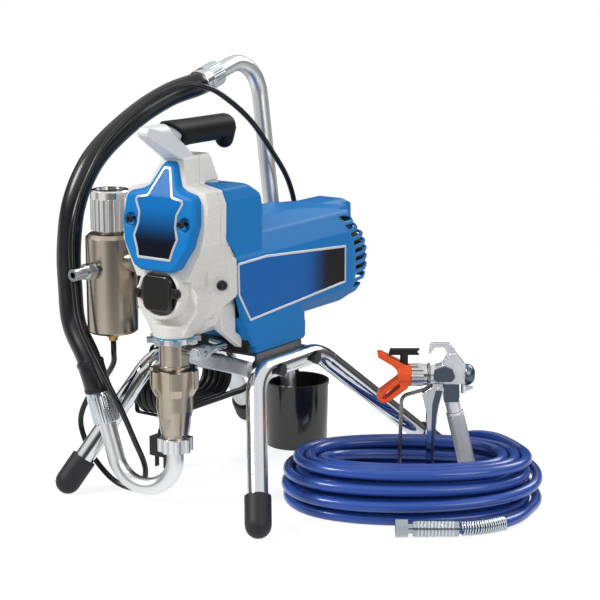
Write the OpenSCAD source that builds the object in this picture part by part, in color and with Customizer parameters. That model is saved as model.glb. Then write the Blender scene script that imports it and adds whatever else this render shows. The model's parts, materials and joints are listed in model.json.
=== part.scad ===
// Airless paint sprayer on a four-legged stand, with its suction set, pressure hose and spray gun.
// Millimetres. +Z is up, +Y runs back along the motor, the pump hangs at the front.

/* [Stand] */
// Outer diameter of the stand tube
tube_d = 22.2; // [18:0.1:26]
// Wall of the stand tube
tube_wall = 1.6; // [1:0.1:3]
// Half distance between the two side runs
run_x = 70; // [66:1:84]
// Height of the side runs
run_z = 150; // [146:1:154]
// Where the front legs bend into the side runs
knee_front_y = 53; // [46:1:58]
// Where the side runs bend into the rear legs
knee_rear_y = 174; // [168:1:190]
// Half width over the front feet
front_foot_x = 131; // [120:1:150]
// Half width over the rear feet
rear_foot_x = 140; // [120:1:160]
// How far the front feet stand in front of the pump
front_foot_y = -29; // [-45:1:-15]
// How far the rear feet stand behind the pump
rear_foot_y = 325; // [300:1:350]
// Bend radius of the stand tube
tube_bend = 42; // [34:1:50]
// Outer diameter of a rubber foot
foot_d = 28.7; // [26:0.1:34]
// Length of a rubber foot above the centre of its round end
foot_len = 32; // [24:1:45]
// Height of the front crossbar
bar_h = 18; // [12:1:22]
// Thickness of the front crossbar
bar_t = 7; // [4:0.5:10]
// Thickness of the mounting plate
plate_t = 3; // [2:0.5:5]

/* [Pump] */
// Outer diameter of the pump cylinder
cylinder_d = 32.6; // [30:0.1:36]
// Bore of the pump cylinder
cylinder_bore = 20; // [18:0.1:22]
// Diameter of the piston rod
rod_d = 12.6; // [10:0.1:14]
// Full stroke of the piston rod
stroke = 14; // [8:1:16]
// Height of the top face of the jam nut
jam_nut_z = 193; // [191:0.5:194]
// Width over the points of the jam nut
jam_nut_d = 58; // [50:1:64]
// Thickness of the jam nut
jam_nut_t = 6; // [4:0.5:9]
// Width over the wings of the valve nut
wing_d = 54; // [50:1:60]
// Diameter of the intake valve body
intake_d = 39; // [36:0.5:44]
// Diameter of the suction nut over its lobes
suction_nut_d = 39; // [36:0.5:44]
// Height of the underside of the suction nut
suction_nut_z = 65; // [60:1:68]

/* [Gear case] */
// Half width of the gear case
case_half_w = 55; // [52:1:58]
// Front face of the gear case
case_front_y = -18; // [-20:1:-16]
// Joint face between the two halves of the case
case_split_y = 12; // [8:1:14]
// Rear face of the gear case
case_rear_y = 50; // [48:1:52]
// Underside of the gear case
case_bottom_z = 195; // [194.5:0.5:197]
// Top of the gear case
case_top_z = 386; // [380:1:392]
// Wall of the castings
case_wall = 5; // [4:0.5:6]
// Thickness of the blue front cover
cover_t = 14; // [10:1:18]
// Width of the rod door
door_w = 38; // [34:1:39]
// Height of the rod door
door_h = 39; // [35:1:40]

/* [Gear train] */
// Height of the motor shaft
motor_z = 250; // [248:1:252]
// Height of the crank shaft
crank_z = 318; // [317:1:319]
// Module of the first gear pair
module_1 = 1.25; // [1.2:0.01:1.28]
// Teeth of the motor pinion
pinion_teeth = 12; // [11:1:13]
// Teeth of the large intermediate gear
lay_teeth = 40; // [39:1:41]
// Module of the second gear pair
module_2 = 1.5; // [1.45:0.01:1.52]
// Teeth of the small intermediate pinion
lay_pinion_teeth = 12; // [11:1:13]
// Teeth of the crank gear
crank_teeth = 54; // [53:1:55]

/* [Motor] */
// Half width of the motor shroud
shroud_half_w = 60; // [56:1:62]
// Rear end of the motor shroud
shroud_rear_y = 332; // [325:1:340]
// Wall of the shroud
shroud_wall = 3.2; // [2.4:0.2:4]
// Number of cooling slots on each side
slot_count = 9; // [5:1:10]
// Height of a cooling slot
slot_h = 5; // [3:0.5:6]
// Diameter of the motor stator
stator_d = 92; // [80:1:96]
// Length of the motor stator
stator_len = 92; // [70:1:110]
// Diameter of the cooling fan
fan_d = 88; // [70:1:94]
// Number of fan blades
fan_blades = 11; // [7:1:15]

/* [Manifold] */
// Diameter of the filter manifold
manifold_d = 56; // [50:0.5:58]
// Distance of the manifold axis from the pump axis
manifold_x = 88; // [86:1:92]
// Underside of the manifold
manifold_z0 = 186; // [180:1:190]
// Top of the manifold body
manifold_z1 = 296; // [290:1:300]
// Diameter of the filter cap
cap_d = 42; // [38:1:46]
// Height of the filter cap
cap_h = 44; // [36:1:50]
// Number of flutes round the filter cap
cap_flutes = 20; // [12:1:28]
// Height of the outlet nipple
outlet_z = 259; // [250:1:268]
// Diameter of the outlet nipple
outlet_d = 13; // [12:0.1:14]

/* [Suction set] */
// Outer diameter of the suction tubes
suction_d = 19; // [16:0.5:21]
// Wall of the suction tubes
suction_wall = 1.5; // [1:0.1:2.5]
// Bend radius of the tube below the pump
suction_bend = 37; // [34:1:40]
// Direction of the tube below the pump, forward of straight sideways
suction_yaw = 12; // [10:1:14]
// Lean of the rising end of the tube below the pump
suction_lean = 15; // [12:1:18]
// Outer diameter of the suction hose
hose_d = 27; // [25:0.5:28]
// Diameter of the crimped ferrules
ferrule_d = 30; // [29:0.5:32]
// Diameter of the drain tube
drain_d = 6.4; // [5:0.1:7]
// Outer diameter of the drip cup
cup_d = 78; // [70:1:84]
// Height of the drip cup
cup_h = 80; // [70:1:90]
// Wall of the drip cup
cup_wall = 2.4; // [1.8:0.2:4]

/* [Power cord] */
// Diameter of the power cord
lead_d = 7.8; // [6:0.2:8]
// Loops in the folded power cord
hank_loops = 5; // [3:1:6]

/* [Pressure hose] */
// Outer diameter of the pressure hose
line_d = 12; // [10:0.5:12.4]
// Loops in the coiled hose
coil_loops = 14; // [7:1:16]
// Diameter of the crimped hose end
crimp_d = 17; // [15:0.5:18]
// Width over the flats of the hose nut
hose_nut_w = 17; // [15:0.5:18]

/* [Spray gun] */
// Height of the spray axis over the floor
gun_axis_z = 142.5; // [141:0.5:144]
// Diameter of the gun body
gun_body_d = 22; // [20:0.5:24]
// Diameter of the gun handle
handle_d = 21; // [19:0.5:22]
// Lean of the gun handle
handle_lean = 14; // [13:0.2:15]

/* [Hidden] */
$fn = 64;

// The pump axis stands here in the part's frame.
origin_x = -51.3;
origin_y = -139.6;

gap = 0.3;          // between curved faces of separate pieces
running = 0.05;     // radial clearance of a running fit
bite = 1;           // how far pieces of one solid reach into each other

// ---------- points and outlines ----------

function unit(v) = v / norm(v);
function left(v) = [-v[1], v[0]];
function sum(v, i = 0) = i >= len(v) ? 0 : v[i] + sum(v, i + 1);

// The outline p, run counter-clockwise, with every side moved inwards by d.
function inset(p, d) =
    let (n = len(p))
    [for (i = [0:n - 1])
        let (u = unit(p[i] - p[(i + n - 1) % n]), v = unit(p[(i + 1) % n] - p[i]),
             m = unit(left(u) + left(v)))
        p[i] + m * d / (m * left(u))];

// The outline p with every corner rounded to radius r by short straight steps.
function rounded(p, r, steps = 4) =
    let (n = len(p))
    [for (i = [0:n - 1])
        let (u = unit(p[(i + n - 1) % n] - p[i]), v = unit(p[(i + 1) % n] - p[i]),
             half = acos(u * v) / 2, c = p[i] + unit(u + v) * r / sin(half),
             a = p[i] + u * r / tan(half) - c, b = p[i] + v * r / tan(half) - c)
        for (k = [0:steps]) c + r * unit(a * (steps - k) + b * k)];

function mirrored(p) = concat(p, [for (i = [len(p) - 1:-1:0]) [-p[i][0], p[i][1]]]);

// A smooth line through the points p, with s steps between neighbours.
function curve(p, s) =
    let (n = len(p))
    concat([for (i = [0:n - 2], k = [0:s - 1])
        let (a = p[max(i - 1, 0)], b = p[i], c = p[i + 1], d = p[min(i + 2, n - 1)], t = k / s)
        ((2 * b) + (c - a) * t + (2 * a - 5 * b + 4 * c - d) * t * t
            + (3 * b - a - 3 * c + d) * t * t * t) / 2], [p[n - 1]]);

// Directions along a line, and side vectors that turn as little as they can.
function tangents(p) =
    let (n = len(p))
    [for (i = [0:n - 1]) unit(p[min(i + 1, n - 1)] - p[max(i - 1, 0)])];
function sides_of(t, first) =
    [for (i = 0, s = unit(first - t[0] * (first * t[0])); i < len(t);
        i = i + 1, s = i < len(t) ? unit(s - t[i] * (s * t[i])) : s) s];

// A closed tube of diameter d along the line p, with flat ends.
module tube_along(p, d, sides, first = [0, 0, 1]) {
    t = tangents(p);
    s = sides_of(t, first);
    n = len(p);
    pts = [for (i = [0:n - 1], k = [0:sides - 1])
        p[i] + d / 2 * (cos(360 * k / sides) * s[i] + sin(360 * k / sides) * cross(t[i], s[i]))];
    faces = concat(
        [for (i = [0:n - 2], k = [0:sides - 1])
            let (a = i * sides + k, b = i * sides + (k + 1) % sides) [a, a + sides, b + sides]],
        [for (i = [0:n - 2], k = [0:sides - 1])
            let (a = i * sides + k, b = i * sides + (k + 1) % sides) [a, b + sides, b]],
        [for (k = [1:sides - 2]) [0, k, k + 1]],
        [for (k = [1:sides - 2]) let (e = (n - 1) * sides) [e, e + k + 1, e + k]]);
    polyhedron(pts, faces);
}

// ---------- placing ----------

module machine() { translate([origin_x, origin_y, 0]) children(); }

// Extrudes of outlines drawn in (x, z), (y, z) and (x, y).
module along_y(y0, y1) { translate([0, y1, 0]) rotate([90, 0, 0]) linear_extrude(y1 - y0) children(); }
module along_x(x0, x1) { translate([x0, 0, 0]) rotate([90, 0, 90]) linear_extrude(x1 - x0) children(); }
module along_z(z0, z1) { translate([0, 0, z0]) linear_extrude(z1 - z0) children(); }

module rod_y(x, y0, y1, z, d) { translate([x, y0, z]) rotate([-90, 0, 0]) cylinder(h = y1 - y0, d = d); }
module rod_x(x0, x1, y, z, d) { translate([x0, y, z]) rotate([0, 90, 0]) cylinder(h = x1 - x0, d = d); }

module rod_between(a, b, d) {
    v = b - a;
    translate(a) rotate([0, acos(v[2] / norm(v)), atan2(v[1], v[0])]) cylinder(h = norm(v), d = d);
}

// A round rod of diameter d along straight runs between the points p, bent at each inner point.
// Each run and each bend is placed from the end of the one before it, with a thin weld ring
// at each seam. With a bore it is a tube.
module bent_rod(p, r, d, bore = 0) {
    u = unit(p[1] - p[0]);
    polar = acos(u[2]);
    turn = atan2(u[1], u[0]);
    translate(p[0]) rotate([0, polar, turn])
        rod_run(p, r, d, bore, 0, [cos(polar) * cos(turn), cos(polar) * sin(turn), -sin(polar)]);
}
function corner_cut(p, r, i) = (i == 0 || i == len(p) - 1) ? 0
    : r * tan(acos(unit(p[i] - p[i - 1]) * unit(p[i + 1] - p[i])) / 2);
seam = 0.15;
module round_tube(d, bore) {
    difference() {
        circle(d = d);
        if (bore > 0) circle(d = bore);
    }
}
module weld_ring(d, bore) {
    translate([0, 0, -2 * seam]) linear_extrude(4 * seam) round_tube(d + 0.04, bore - 0.04);
}
module rod_run(p, r, d, bore, i, x) {
    u = unit(p[i + 1] - p[i]);
    run = norm(p[i + 1] - p[i]) - corner_cut(p, r, i) - corner_cut(p, r, i + 1);
    z0 = i > 0 ? seam : 0;
    z1 = i + 2 < len(p) ? run - seam : run;
    translate([0, 0, z0]) linear_extrude(z1 - z0) round_tube(d, bore);
    if (i + 2 < len(p)) {
        v = unit(p[i + 2] - p[i + 1]);
        inward = unit(v - u * (u * v));
        bend = acos(u * v);
        skip = seam / r * 180 / PI;
        translate([0, 0, run]) rotate([0, 0, atan2(inward * cross(u, x), inward * x)]) {
            weld_ring(d, bore);
            multmatrix([[-1, 0, 0, r], [0, 0, 1, 0], [0, 1, 0, 0], [0, 0, 0, 1]])
                rotate_extrude(start = skip, angle = bend - 2 * skip) translate([r, 0]) round_tube(d, bore);
            translate([r, 0, 0]) rotate([0, bend, 0]) translate([-r, 0, 0]) {
                weld_ring(d, bore);
                rod_run(p, r, d, bore, i + 1, inward * cos(bend) - u * sin(bend));
            }
        }
    }
}

// A plate with the outline p between z = 0 and t, its top edge bevelled by b.
module bevelled(p, t, b) {
    n = len(p);
    q = inset(p, b);
    pts = concat([for (v = p) [v[0], v[1], 0]], [for (v = p) [v[0], v[1], t - b]],
        [for (v = q) [v[0], v[1], t]]);
    polyhedron(pts, concat(
        [for (r = [0, n], i = [0:n - 1]) let (j = (i + 1) % n) [r + i, r + n + i, r + n + j]],
        [for (r = [0, n], i = [0:n - 1]) let (j = (i + 1) % n) [r + i, r + n + j, r + j]],
        [[for (i = [0:n - 1]) i]], [[for (i = [n - 1:-1:0]) 2 * n + i]]));
}

// A pan-head screw with its head below z = 0 and its shank above, along +Z.
module pan_screw(head_d, head_h, shank_d, length) {
    difference() {
        translate([0, 0, -head_h]) cylinder(h = head_h, d1 = head_d * 0.8, d2 = head_d);
        translate([0, 0, -head_h - 1]) cylinder(h = head_h / 2 + 1, d = head_d * 0.42, $fn = 6);
    }
    cylinder(h = length, d = shank_d);
}

// ---------- stand ----------

foot_centre_z = foot_d / 2 - 0.5;
function leg_path(side) = [
    [side * front_foot_x, front_foot_y, foot_centre_z],
    [side * run_x, knee_front_y, run_z],
    [side * run_x, knee_rear_y, run_z],
    [side * rear_foot_x, rear_foot_y, foot_centre_z]];
bolt_ys = [82, 150];
frame_bolt_d = 8;
bolt_hole_d = frame_bolt_d + 0.6;
plate_z = run_z + tube_d / 2 + 2;

module frame_tube() {
    color("gainsboro") difference() {
        bent_rod(leg_path(1), tube_bend, tube_d, tube_d - 2 * tube_wall);
        for (y = bolt_ys) rod_x(run_x - tube_d, run_x + tube_d, y, run_z, bolt_hole_d);
    }
}
module frame_tube_right() { frame_tube(); }
module frame_tube_left() { mirror([1, 0, 0]) frame_tube(); }

// The front bar bows backwards between the knees. The rear bar is a plain round tube.
bar_z = run_z + 2;
bar_y = knee_front_y + 2;
bar_half = run_x - tube_d / 2 + 1.7;
bar_bow = 9;
bar_r = (bar_half * bar_half + bar_bow * bar_bow) / (2 * bar_bow);
rear_bar_y = knee_rear_y - 8;
rear_bar_d = 16;
rear_half = run_x - tube_d / 2 + 0.1;
module frame_crossbars() {
    half_angle = asin(bar_half / bar_r);
    color("silver") {
        translate([0, bar_y + bar_bow - bar_r, bar_z]) rotate([0, 0, 90 - half_angle])
            rotate_extrude(angle = 2 * half_angle, $fn = 128)
                translate([bar_r - bar_t / 2, -bar_h / 2]) polygon(rounded(
                    [[0, 0], [bar_t, 0], [bar_t, bar_h], [0, bar_h]], 2.5, 3));
        rod_x(-rear_half, rear_half, rear_bar_y, run_z, rear_bar_d);
    }
}

// A channel plate between the runs, bolted through them, that carries the gear case.
flange_x = run_x - tube_d / 2 - gap;
plate_y0 = bar_y + bar_bow + bar_t;
plate_y1 = rear_bar_y - rear_bar_d / 2 - gap;
module mounting_plate() {
    color("dimgray") difference() {
        along_y(plate_y0, plate_y1) polygon([
            [-flange_x, run_z - 8], [-flange_x + plate_t, run_z - 8],
            [-flange_x + plate_t, plate_z], [flange_x - plate_t, plate_z],
            [flange_x - plate_t, run_z - 8], [flange_x, run_z - 8],
            [flange_x, plate_z + plate_t], [-flange_x, plate_z + plate_t]]);
        for (s = [-1, 1], y = bolt_ys) rod_x(s * flange_x - 5, s * flange_x + 5, y, run_z, bolt_hole_d);
        for (y = [95, 130]) translate([0, y, plate_z - 1]) cylinder(h = plate_t + 2, d = 20);
    }
}

module rubber_foot(side, front) {
    p = leg_path(side);
    a = front ? p[0] : p[3];
    b = front ? p[1] : p[2];
    u = unit(b - a);
    difference() {
        union() {
            rod_between(a, a + u * foot_len, foot_d);
            translate(a) sphere(d = foot_d - 0.4);
        }
        rod_between(a, a + u * (foot_len + 1), tube_d + 0.1);
        translate([a[0], a[1], -10]) cube([60, 60, 20], center = true);
    }
}
module rubber_feet() {
    color("#262626") for (s = [-1, 1], f = [true, false]) rubber_foot(s, f);
}

module frame_bolt(side, y) {
    head_x = run_x + tube_d / 2 + 0.2;
    mirror([side < 0 ? 1 : 0, 0, 0]) {
        rod_x(flange_x - plate_t - 6, head_x, y, run_z, frame_bolt_d);
        translate([head_x, y, run_z]) rotate([0, 90, 0]) cylinder(h = 5, d = 15, $fn = 6);
        translate([flange_x - plate_t - 6.7, y, run_z]) rotate([0, 90, 0]) cylinder(h = 6.5, d = 15, $fn = 6);
    }
}

// ---------- gear case ----------

// Right half of the case outline, from the bottom up, in (x, z).
case_side = [[24, case_bottom_z], [37, case_bottom_z + 10], [44, 226], [49, 250],
    [case_half_w, 290], [case_half_w + 1, 338], [50, 352], [27, 357]];
case_outline = mirrored(concat(case_side, [[24, case_top_z - 3], [20, case_top_z]]));
case_core = mirrored(case_side);
case_round = 2.5;
torx = [[49, 250], [-49, 250], [40.5, 347], [-40.5, 347]];
torx_y = 0;
screw_boss_d = 12;
rod_door_z = 244;
door_ring_d = 58;
pump_boss_d = 46;
ear_x = 25;
ear_z = 2;
crank_bearing_d = 22;
motor_bearing_d = 16;
lay_a = (module_1 * (pinion_teeth + lay_teeth)) / 2;
lay_b = (module_2 * (lay_pinion_teeth + crank_teeth)) / 2;
lay_rise = (lay_a * lay_a - lay_b * lay_b + (crank_z - motor_z) * (crank_z - motor_z))
    / (2 * (crank_z - motor_z));
lay_x = sqrt(lay_a * lay_a - lay_rise * lay_rise);
lay_z = motor_z + lay_rise;
pin_z = rod_door_z;

// Each lower screw stands in an oblique wing that widens towards the motor shroud.
wing_rear_y = 36.4;
module case_block(y0, y1) {
    along_y(y0, y1) polygon(rounded(case_outline, case_round, 3));
    for (p = torx) rod_y(p[0], y0, y1, p[1], screw_boss_d);
    for (s = [0, 1]) mirror([s, 0, 0]) intersection() {
        along_z(226, 284) polygon([[38, -6], [45, -6], [shroud_half_w - 0.4, wing_rear_y], [38, wing_rear_y]]);
        along_y(y0, min(y1, wing_rear_y)) polygon([[38, 228], [52, 232], [61, 241], [61, 268], [50, 282],
            [38, 282]]);
    }
}
// The shroud's skin lies flush over the rear of the case, behind this line in (y, z).
skin_line = [[22.3, 299], [wing_rear_y - 0.1, 282.3], [70, 282.3], [70, 358.5], [22.3, 358.5]];
skin_t = 2.6;
module case_cavity(y0, y1) {
    difference() {
        union() {
            along_y(y0, y1) polygon(rounded(inset(case_core, case_wall), case_round, 3));
            rod_y(0, y0, y1, crank_z, module_2 * (crank_teeth + 2) + 3);
            rod_y(lay_x, y0, y1, lay_z, module_1 * (lay_teeth + 2) + 1.5);
        }
        for (p = torx) rod_y(p[0], y0 - 1, y1 + 1, p[1], screw_boss_d);
    }
}

module drive_housing() {
    color("#dedcd6") difference() {
        union() {
            case_block(case_front_y, case_split_y);
            rod_y(0, case_front_y - 6, case_front_y + bite, rod_door_z, door_ring_d);
            translate([0, 0, case_bottom_z - 1]) cylinder(h = 14, d = pump_boss_d);
        }
        // The crank and connecting rod swing in this pocket, open towards the gears.
        intersection() {
            case_cavity(case_front_y + case_wall, case_split_y + 1);
            translate([-50, -60, case_bottom_z + 16]) cube([100, 120, 155]);
        }
        // Ring round the rod door, and the window behind the door.
        rod_y(0, case_front_y - 7, case_front_y - 3, rod_door_z, door_ring_d - 10);
        translate([-door_w / 2 + 5, case_front_y - 8, rod_door_z - door_h / 2 + 5])
            cube([door_w - 10, case_wall + 10, door_h - 10]);
        for (s = [-1, 1]) rod_y(s * ear_x, case_front_y - 8, case_front_y + 3, rod_door_z + ear_z * s, 3.4);
        // Pump bore with its seat.
        translate([0, 0, case_bottom_z - 2]) cylinder(h = 30, d = rod_d + 3);
        translate([0, 0, case_bottom_z - 2]) cylinder(h = 12, d = cylinder_d + 2 * gap);
        // Flats cast into both lower corners.
        for (s = [-1, 1]) translate([s * 47, case_front_y - 1, 205]) rotate([0, s * 28, 0])
            translate([s * 10 - 10, 0, -20]) cube([20, 7, 40]);
        for (p = torx) {
            rod_y(p[0], case_front_y - 9, torx_y, p[1], 10);
            rod_y(p[0], torx_y - 1, case_split_y + 1, p[1], 5.4);
        }
    }
}

leg_x = 41;
leg_y = plate_y0 + 0.5;
module bearing_housing() {
    color("#d6d4ce") difference() {
        union() {
            case_block(case_split_y + 0.2, case_rear_y);
            // Two cast legs stand on the mounting plate.
            for (s = [-1, 1]) along_x(s * leg_x - 5, s * leg_x + 5) polygon([
                [24, 226], [24, 200], [leg_y, plate_z + plate_t + 0.1], [leg_y + 12, plate_z + plate_t + 0.1],
                [leg_y + 12, 172], [case_rear_y, 194], [case_rear_y, 226]]);
        }
        case_cavity(case_split_y - 1, 42);
        translate([0, 0, case_bottom_z - 3]) cylinder(h = 16 + gap, d = pump_boss_d + 2 * gap);
        difference() {
            along_x(-70, 70) polygon(skin_line);
            along_y(0, 80) polygon(inset(case_outline, skin_t));
            for (p = torx) rod_y(p[0], 0, 80, p[1], screw_boss_d);
        }
        // The top slopes down to the rear.
        along_x(-70, 70) polygon([[31, case_top_z], [case_rear_y + 2, 348], [case_rear_y + 9, 348],
            [case_rear_y + 9, case_top_z + 9], [31, case_top_z + 9]]);
        for (p = torx) rod_y(p[0], case_split_y - 1, 46, p[1], 5.4);
        rod_y(0, 40, case_rear_y + 1, crank_z, crank_bearing_d + 2 * running);
        rod_y(lay_x, 40, case_rear_y + 1, lay_z, 10 + 2 * running);
        rod_y(0, 40, case_rear_y + 1, motor_z, motor_bearing_d + 4);
    }
}

// Cover outline, right half, from the bottom up.
cover_side = [[19, 268], [27, 272], [41, 296], [46, 320], [44, 345], [40, 352], [26, 356],
    [19, 361], [11, 386], [7, 390]];
cover_outline = rounded(mirrored(cover_side), 4.2, 3);
cover_screw_x = 34;
cover_screw_z = 321;
label_t = 0.8;

module front_cover() {
    color("#1668b8") difference() {
        translate([0, case_front_y - 0.1, 0]) rotate([90, 0, 0]) bevelled(cover_outline, cover_t, 3.2);
        rod_y(0, case_front_y - 6 - gap, case_front_y + 1, rod_door_z, door_ring_d + 2 * gap);
        for (s = [-1, 1]) {
            rod_y(s * cover_screw_x, case_front_y - cover_t - 1, case_front_y - cover_t + 4,
                cover_screw_z, 14);
            rod_y(s * cover_screw_x, case_front_y - cover_t - 1, case_front_y + 1, cover_screw_z, 4.4);
        }
    }
}

label_side = [[22, 281], [25, 292], [30, 304], [26, 318], [26, 330], [32, 342], [31, 347], [17, 350],
    [6, 379], [4, 383]];
side_label = [[38, 238], [56, 207], [244, 221], [244, 263], [89, 274], [36, 272]];
module cover_labels() {
    color("#10203a") {
        along_y(case_front_y - cover_t - 0.1 - label_t, case_front_y - cover_t - 0.1)
            polygon(rounded(mirrored(label_side), 1.5, 2));
        along_x(shroud_half_w, shroud_half_w + label_t) polygon(rounded(side_label, 2, 2));
    }
}

ear_y1 = case_front_y - 6.2;
ear_y0 = ear_y1 - 3;
module rod_door() {
    y1 = case_front_y - 3.1;
    color("#1c1c1e") difference() {
        union() {
            along_y(y1 - 7, y1) polygon(rounded([[-door_w / 2, rod_door_z - door_h / 2],
                [door_w / 2, rod_door_z - door_h / 2], [door_w / 2, rod_door_z + door_h / 2],
                [-door_w / 2, rod_door_z + door_h / 2]], 9, 4));
            for (s = [-1, 1]) {
                rod_y(s * ear_x, ear_y0, ear_y1, rod_door_z + ear_z * s, 11);
                translate([s > 0 ? 15 : -ear_x, ear_y0, rod_door_z + ear_z * s - 5.5])
                    cube([ear_x - 15, ear_y1 - ear_y0, 11]);
            }
            for (k = [-1:1]) translate([-10, y1 - 8, rod_door_z + 6 * k - 3]) cube([20, 2, 2.4]);
        }
        for (s = [-1, 1]) rod_y(s * ear_x, ear_y0 - 1, ear_y1 + 1, rod_door_z + ear_z * s, 3.4);
    }
}

module screws_and_bolts() {
    color("#3a3a3c") {
        for (s = [-1, 1]) {
            translate([s * cover_screw_x, case_front_y - cover_t + 4, cover_screw_z])
                rotate([-90, 0, 0]) pan_screw(8.4, 3, 4, cover_t - 4.5);
            translate([s * ear_x, ear_y0, rod_door_z + ear_z * s])
                rotate([-90, 0, 0]) pan_screw(6, 2.4, 3, 10);
        }
        for (p = torx) translate([p[0], torx_y - 0.1, p[1]])
            rotate([-90, 0, 0]) pan_screw(9, 3, 5, case_split_y - torx_y + 18);
        for (s = [-1, 1], y = bolt_ys) frame_bolt(s, y);
    }
}

// ---------- carrying handle ----------

grip_z = 410;
grip_d = 28;
grip_y0 = 6;
grip_y1 = 92;
module handle_arm() {
    color("#cfd0d2") {
        hull() {
            translate([-14, case_front_y + 6.4, case_top_z + 0.1]) cube([30, 26.6, 5]);
            translate([-13, -37, 402]) cube([22, 18, 12]);
        }
        hull() {
            translate([-13, -37, 402]) cube([22, 18, 12]);
            translate([-12, -30, 400]) cube([22, 20, 23]);
            rod_y(0, grip_y0 - 8, grip_y0 - 1, grip_z, 22, $fn = 32);
        }
        rod_y(0, grip_y0 - 2, grip_y1, grip_z, 17);
    }
}

// A plain rubber sleeve with a curled rear end, pushed over the arm's bar.
module handle_grip() {
    color("#1b1b1d") difference() {
        union() {
            rod_y(0, grip_y0, grip_y1, grip_z, grip_d);
            translate([0, grip_y1, grip_z]) sphere(d = grip_d);
            translate([0, grip_y1 + 2, grip_z - 14]) rotate([-24, 0, 0]) cylinder(h = 16, d = 20);
            translate([0, grip_y1 + 2, grip_z - 14]) sphere(d = 20);
        }
        rod_y(0, grip_y0 - 1, grip_y1 + 0.2, grip_z, 17.2);
    }
}

// ---------- motor ----------

shroud_front_y = 54;
// Cross-section, right half, in (x, z). The side wall stands between z 206 and 274.
shroud_side = [[30, 186], [46, 192], [shroud_half_w, 208], [shroud_half_w, 274], [46, 297], [26, 309]];
shroud_section = mirrored(shroud_side);
// Outline seen from the side, in (y, z).
shroud_flank = [[52, 197], [66, 199], [211, 186], [265, 187], [306, 202], [shroud_rear_y, 226],
    [shroud_rear_y + 3, 262], [shroud_rear_y - 2, 280], [shroud_rear_y - 12, 297], [271, 304],
    [157, 310], [40, 310], [37, 282], [38, 240]];
// Outline seen from above, in (x, y).
shroud_top_side = [[shroud_half_w + 1, 30], [shroud_half_w + 1, 258], [shroud_half_w - 7, 300],
    [shroud_half_w - 22, shroud_rear_y - 4], [22, shroud_rear_y + 3]];

module shroud_form(d, y0) {
    intersection() {
        along_y(y0, shroud_rear_y + 20) polygon(rounded(inset(shroud_section, d), 7, 3));
        along_x(-shroud_half_w - 2, shroud_half_w + 2) polygon(rounded(inset(shroud_flank, d), 4, 2));
        along_z(170, 330) polygon(rounded(inset(mirrored(shroud_top_side), d), 8, 3));
    }
}
// The raised box over the gear case, and the small one over the vents.
neck_side = [[22.6, 299.4], [wing_rear_y + 0.3, 282.6], [wing_rear_y + 0.3, 268], [86, 268], [88, 325],
    [84, 343], [68, 354], [22.6, 358.4]];
neck_half = case_half_w + 1;
module motor_shroud() {
    color("#1668b8") difference() {
        union() {
            shroud_form(0, 30);
            intersection() {
                along_x(-neck_half - 1, neck_half + 1) polygon(rounded(neck_side, 1.5, 2));
                along_y(20, 100) polygon(rounded([[-neck_half, 260], [neck_half, 260], [neck_half, 338],
                    [50, 352.5], [27, 358], [-27, 358], [-50, 352.5], [-neck_half, 338]], case_round, 3));
            }
            along_y(262, shroud_rear_y + 4) polygon(rounded([[-22, 280], [22, 280], [22, 300],
                [17, 305], [-17, 305], [-22, 300]], 2, 2));
        }
        shroud_form(shroud_wall, shroud_front_y + 8);
        // The front is open where it closes over the gear case.
        translate([-52, 0, 210]) cube([104, shroud_front_y + 9, 80]);
        along_y(20, case_rear_y + gap) polygon(inset(case_outline, skin_t - gap));
        intersection() {
            along_y(20, case_rear_y + gap) polygon(inset(case_outline, -gap));
            along_x(-70, 70) polygon([[19, 180], [case_rear_y + 1, 180], [case_rear_y + 1, 282.6],
                [wing_rear_y + 0.2, 282.6], [19, 303.5]]);
        }
        for (p = torx) rod_y(p[0], 20, case_rear_y + gap, p[1], screw_boss_d + 2 * gap);
        for (s = [-1, 1]) translate([s * leg_x - 6, 20, 180]) cube([12, case_rear_y + gap - 20, 48]);
        intersection() {
            along_y(case_rear_y, 85) polygon(inset(case_core, skin_t));
            along_x(-70, 70) polygon([[50, 270], [83, 270], [85, 322], [81, 341], [66, 351], [50, 352]]);
        }
        // Cooling slots wrap round the rear end on both sides of a centre rib.
        for (i = [0:slot_count - 1], s = [-1, 1])
            translate([s > 0 ? 24 : -24 - 60, 272, 207 + i * 10]) cube([60, 90, slot_h]);
    }
}

stator_y0 = 150;
shaft_d = 9;
module motor_stator() {
    color("#6d6f74") difference() {
        union() {
            rod_y(0, stator_y0, stator_y0 + stator_len, motor_z, stator_d);
            rod_y(0, stator_y0 - 22, stator_y0 + bite, motor_z, stator_d - 22);
            // Mounting arms from the stator to the gear case.
            for (s = [-1, 1]) rod_y(s * 34, case_rear_y + 0.1, stator_y0 + bite, motor_z - 20, 12);
        }
        rod_y(0, stator_y0 - 30, stator_y0 + stator_len + 1, motor_z, 52);
    }
}

function tooth(m, z, i, phase) =
    let (r = m * z / 2, a = 360 / z, c = i * a + phase)
    [for (k = [[-0.27, r - 1.15 * m], [-0.17, r], [-0.09, r + m], [0.09, r + m], [0.17, r],
        [0.27, r - 1.15 * m]]) k[1] * [cos(c + k[0] * a * 1.23), sin(c + k[0] * a * 1.23)]];
function gear(m, z, phase) = [for (i = [0:z - 1]) each tooth(m, z, i, phase)];
// A gear in the (x, z) plane between y0 and y1, with one tooth at the angle phase.
module gear_y(x, z, y0, y1, m, teeth, phase) {
    translate([x, 0, z]) along_y(y0, y1) polygon(gear(m, teeth, phase));
}

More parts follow.
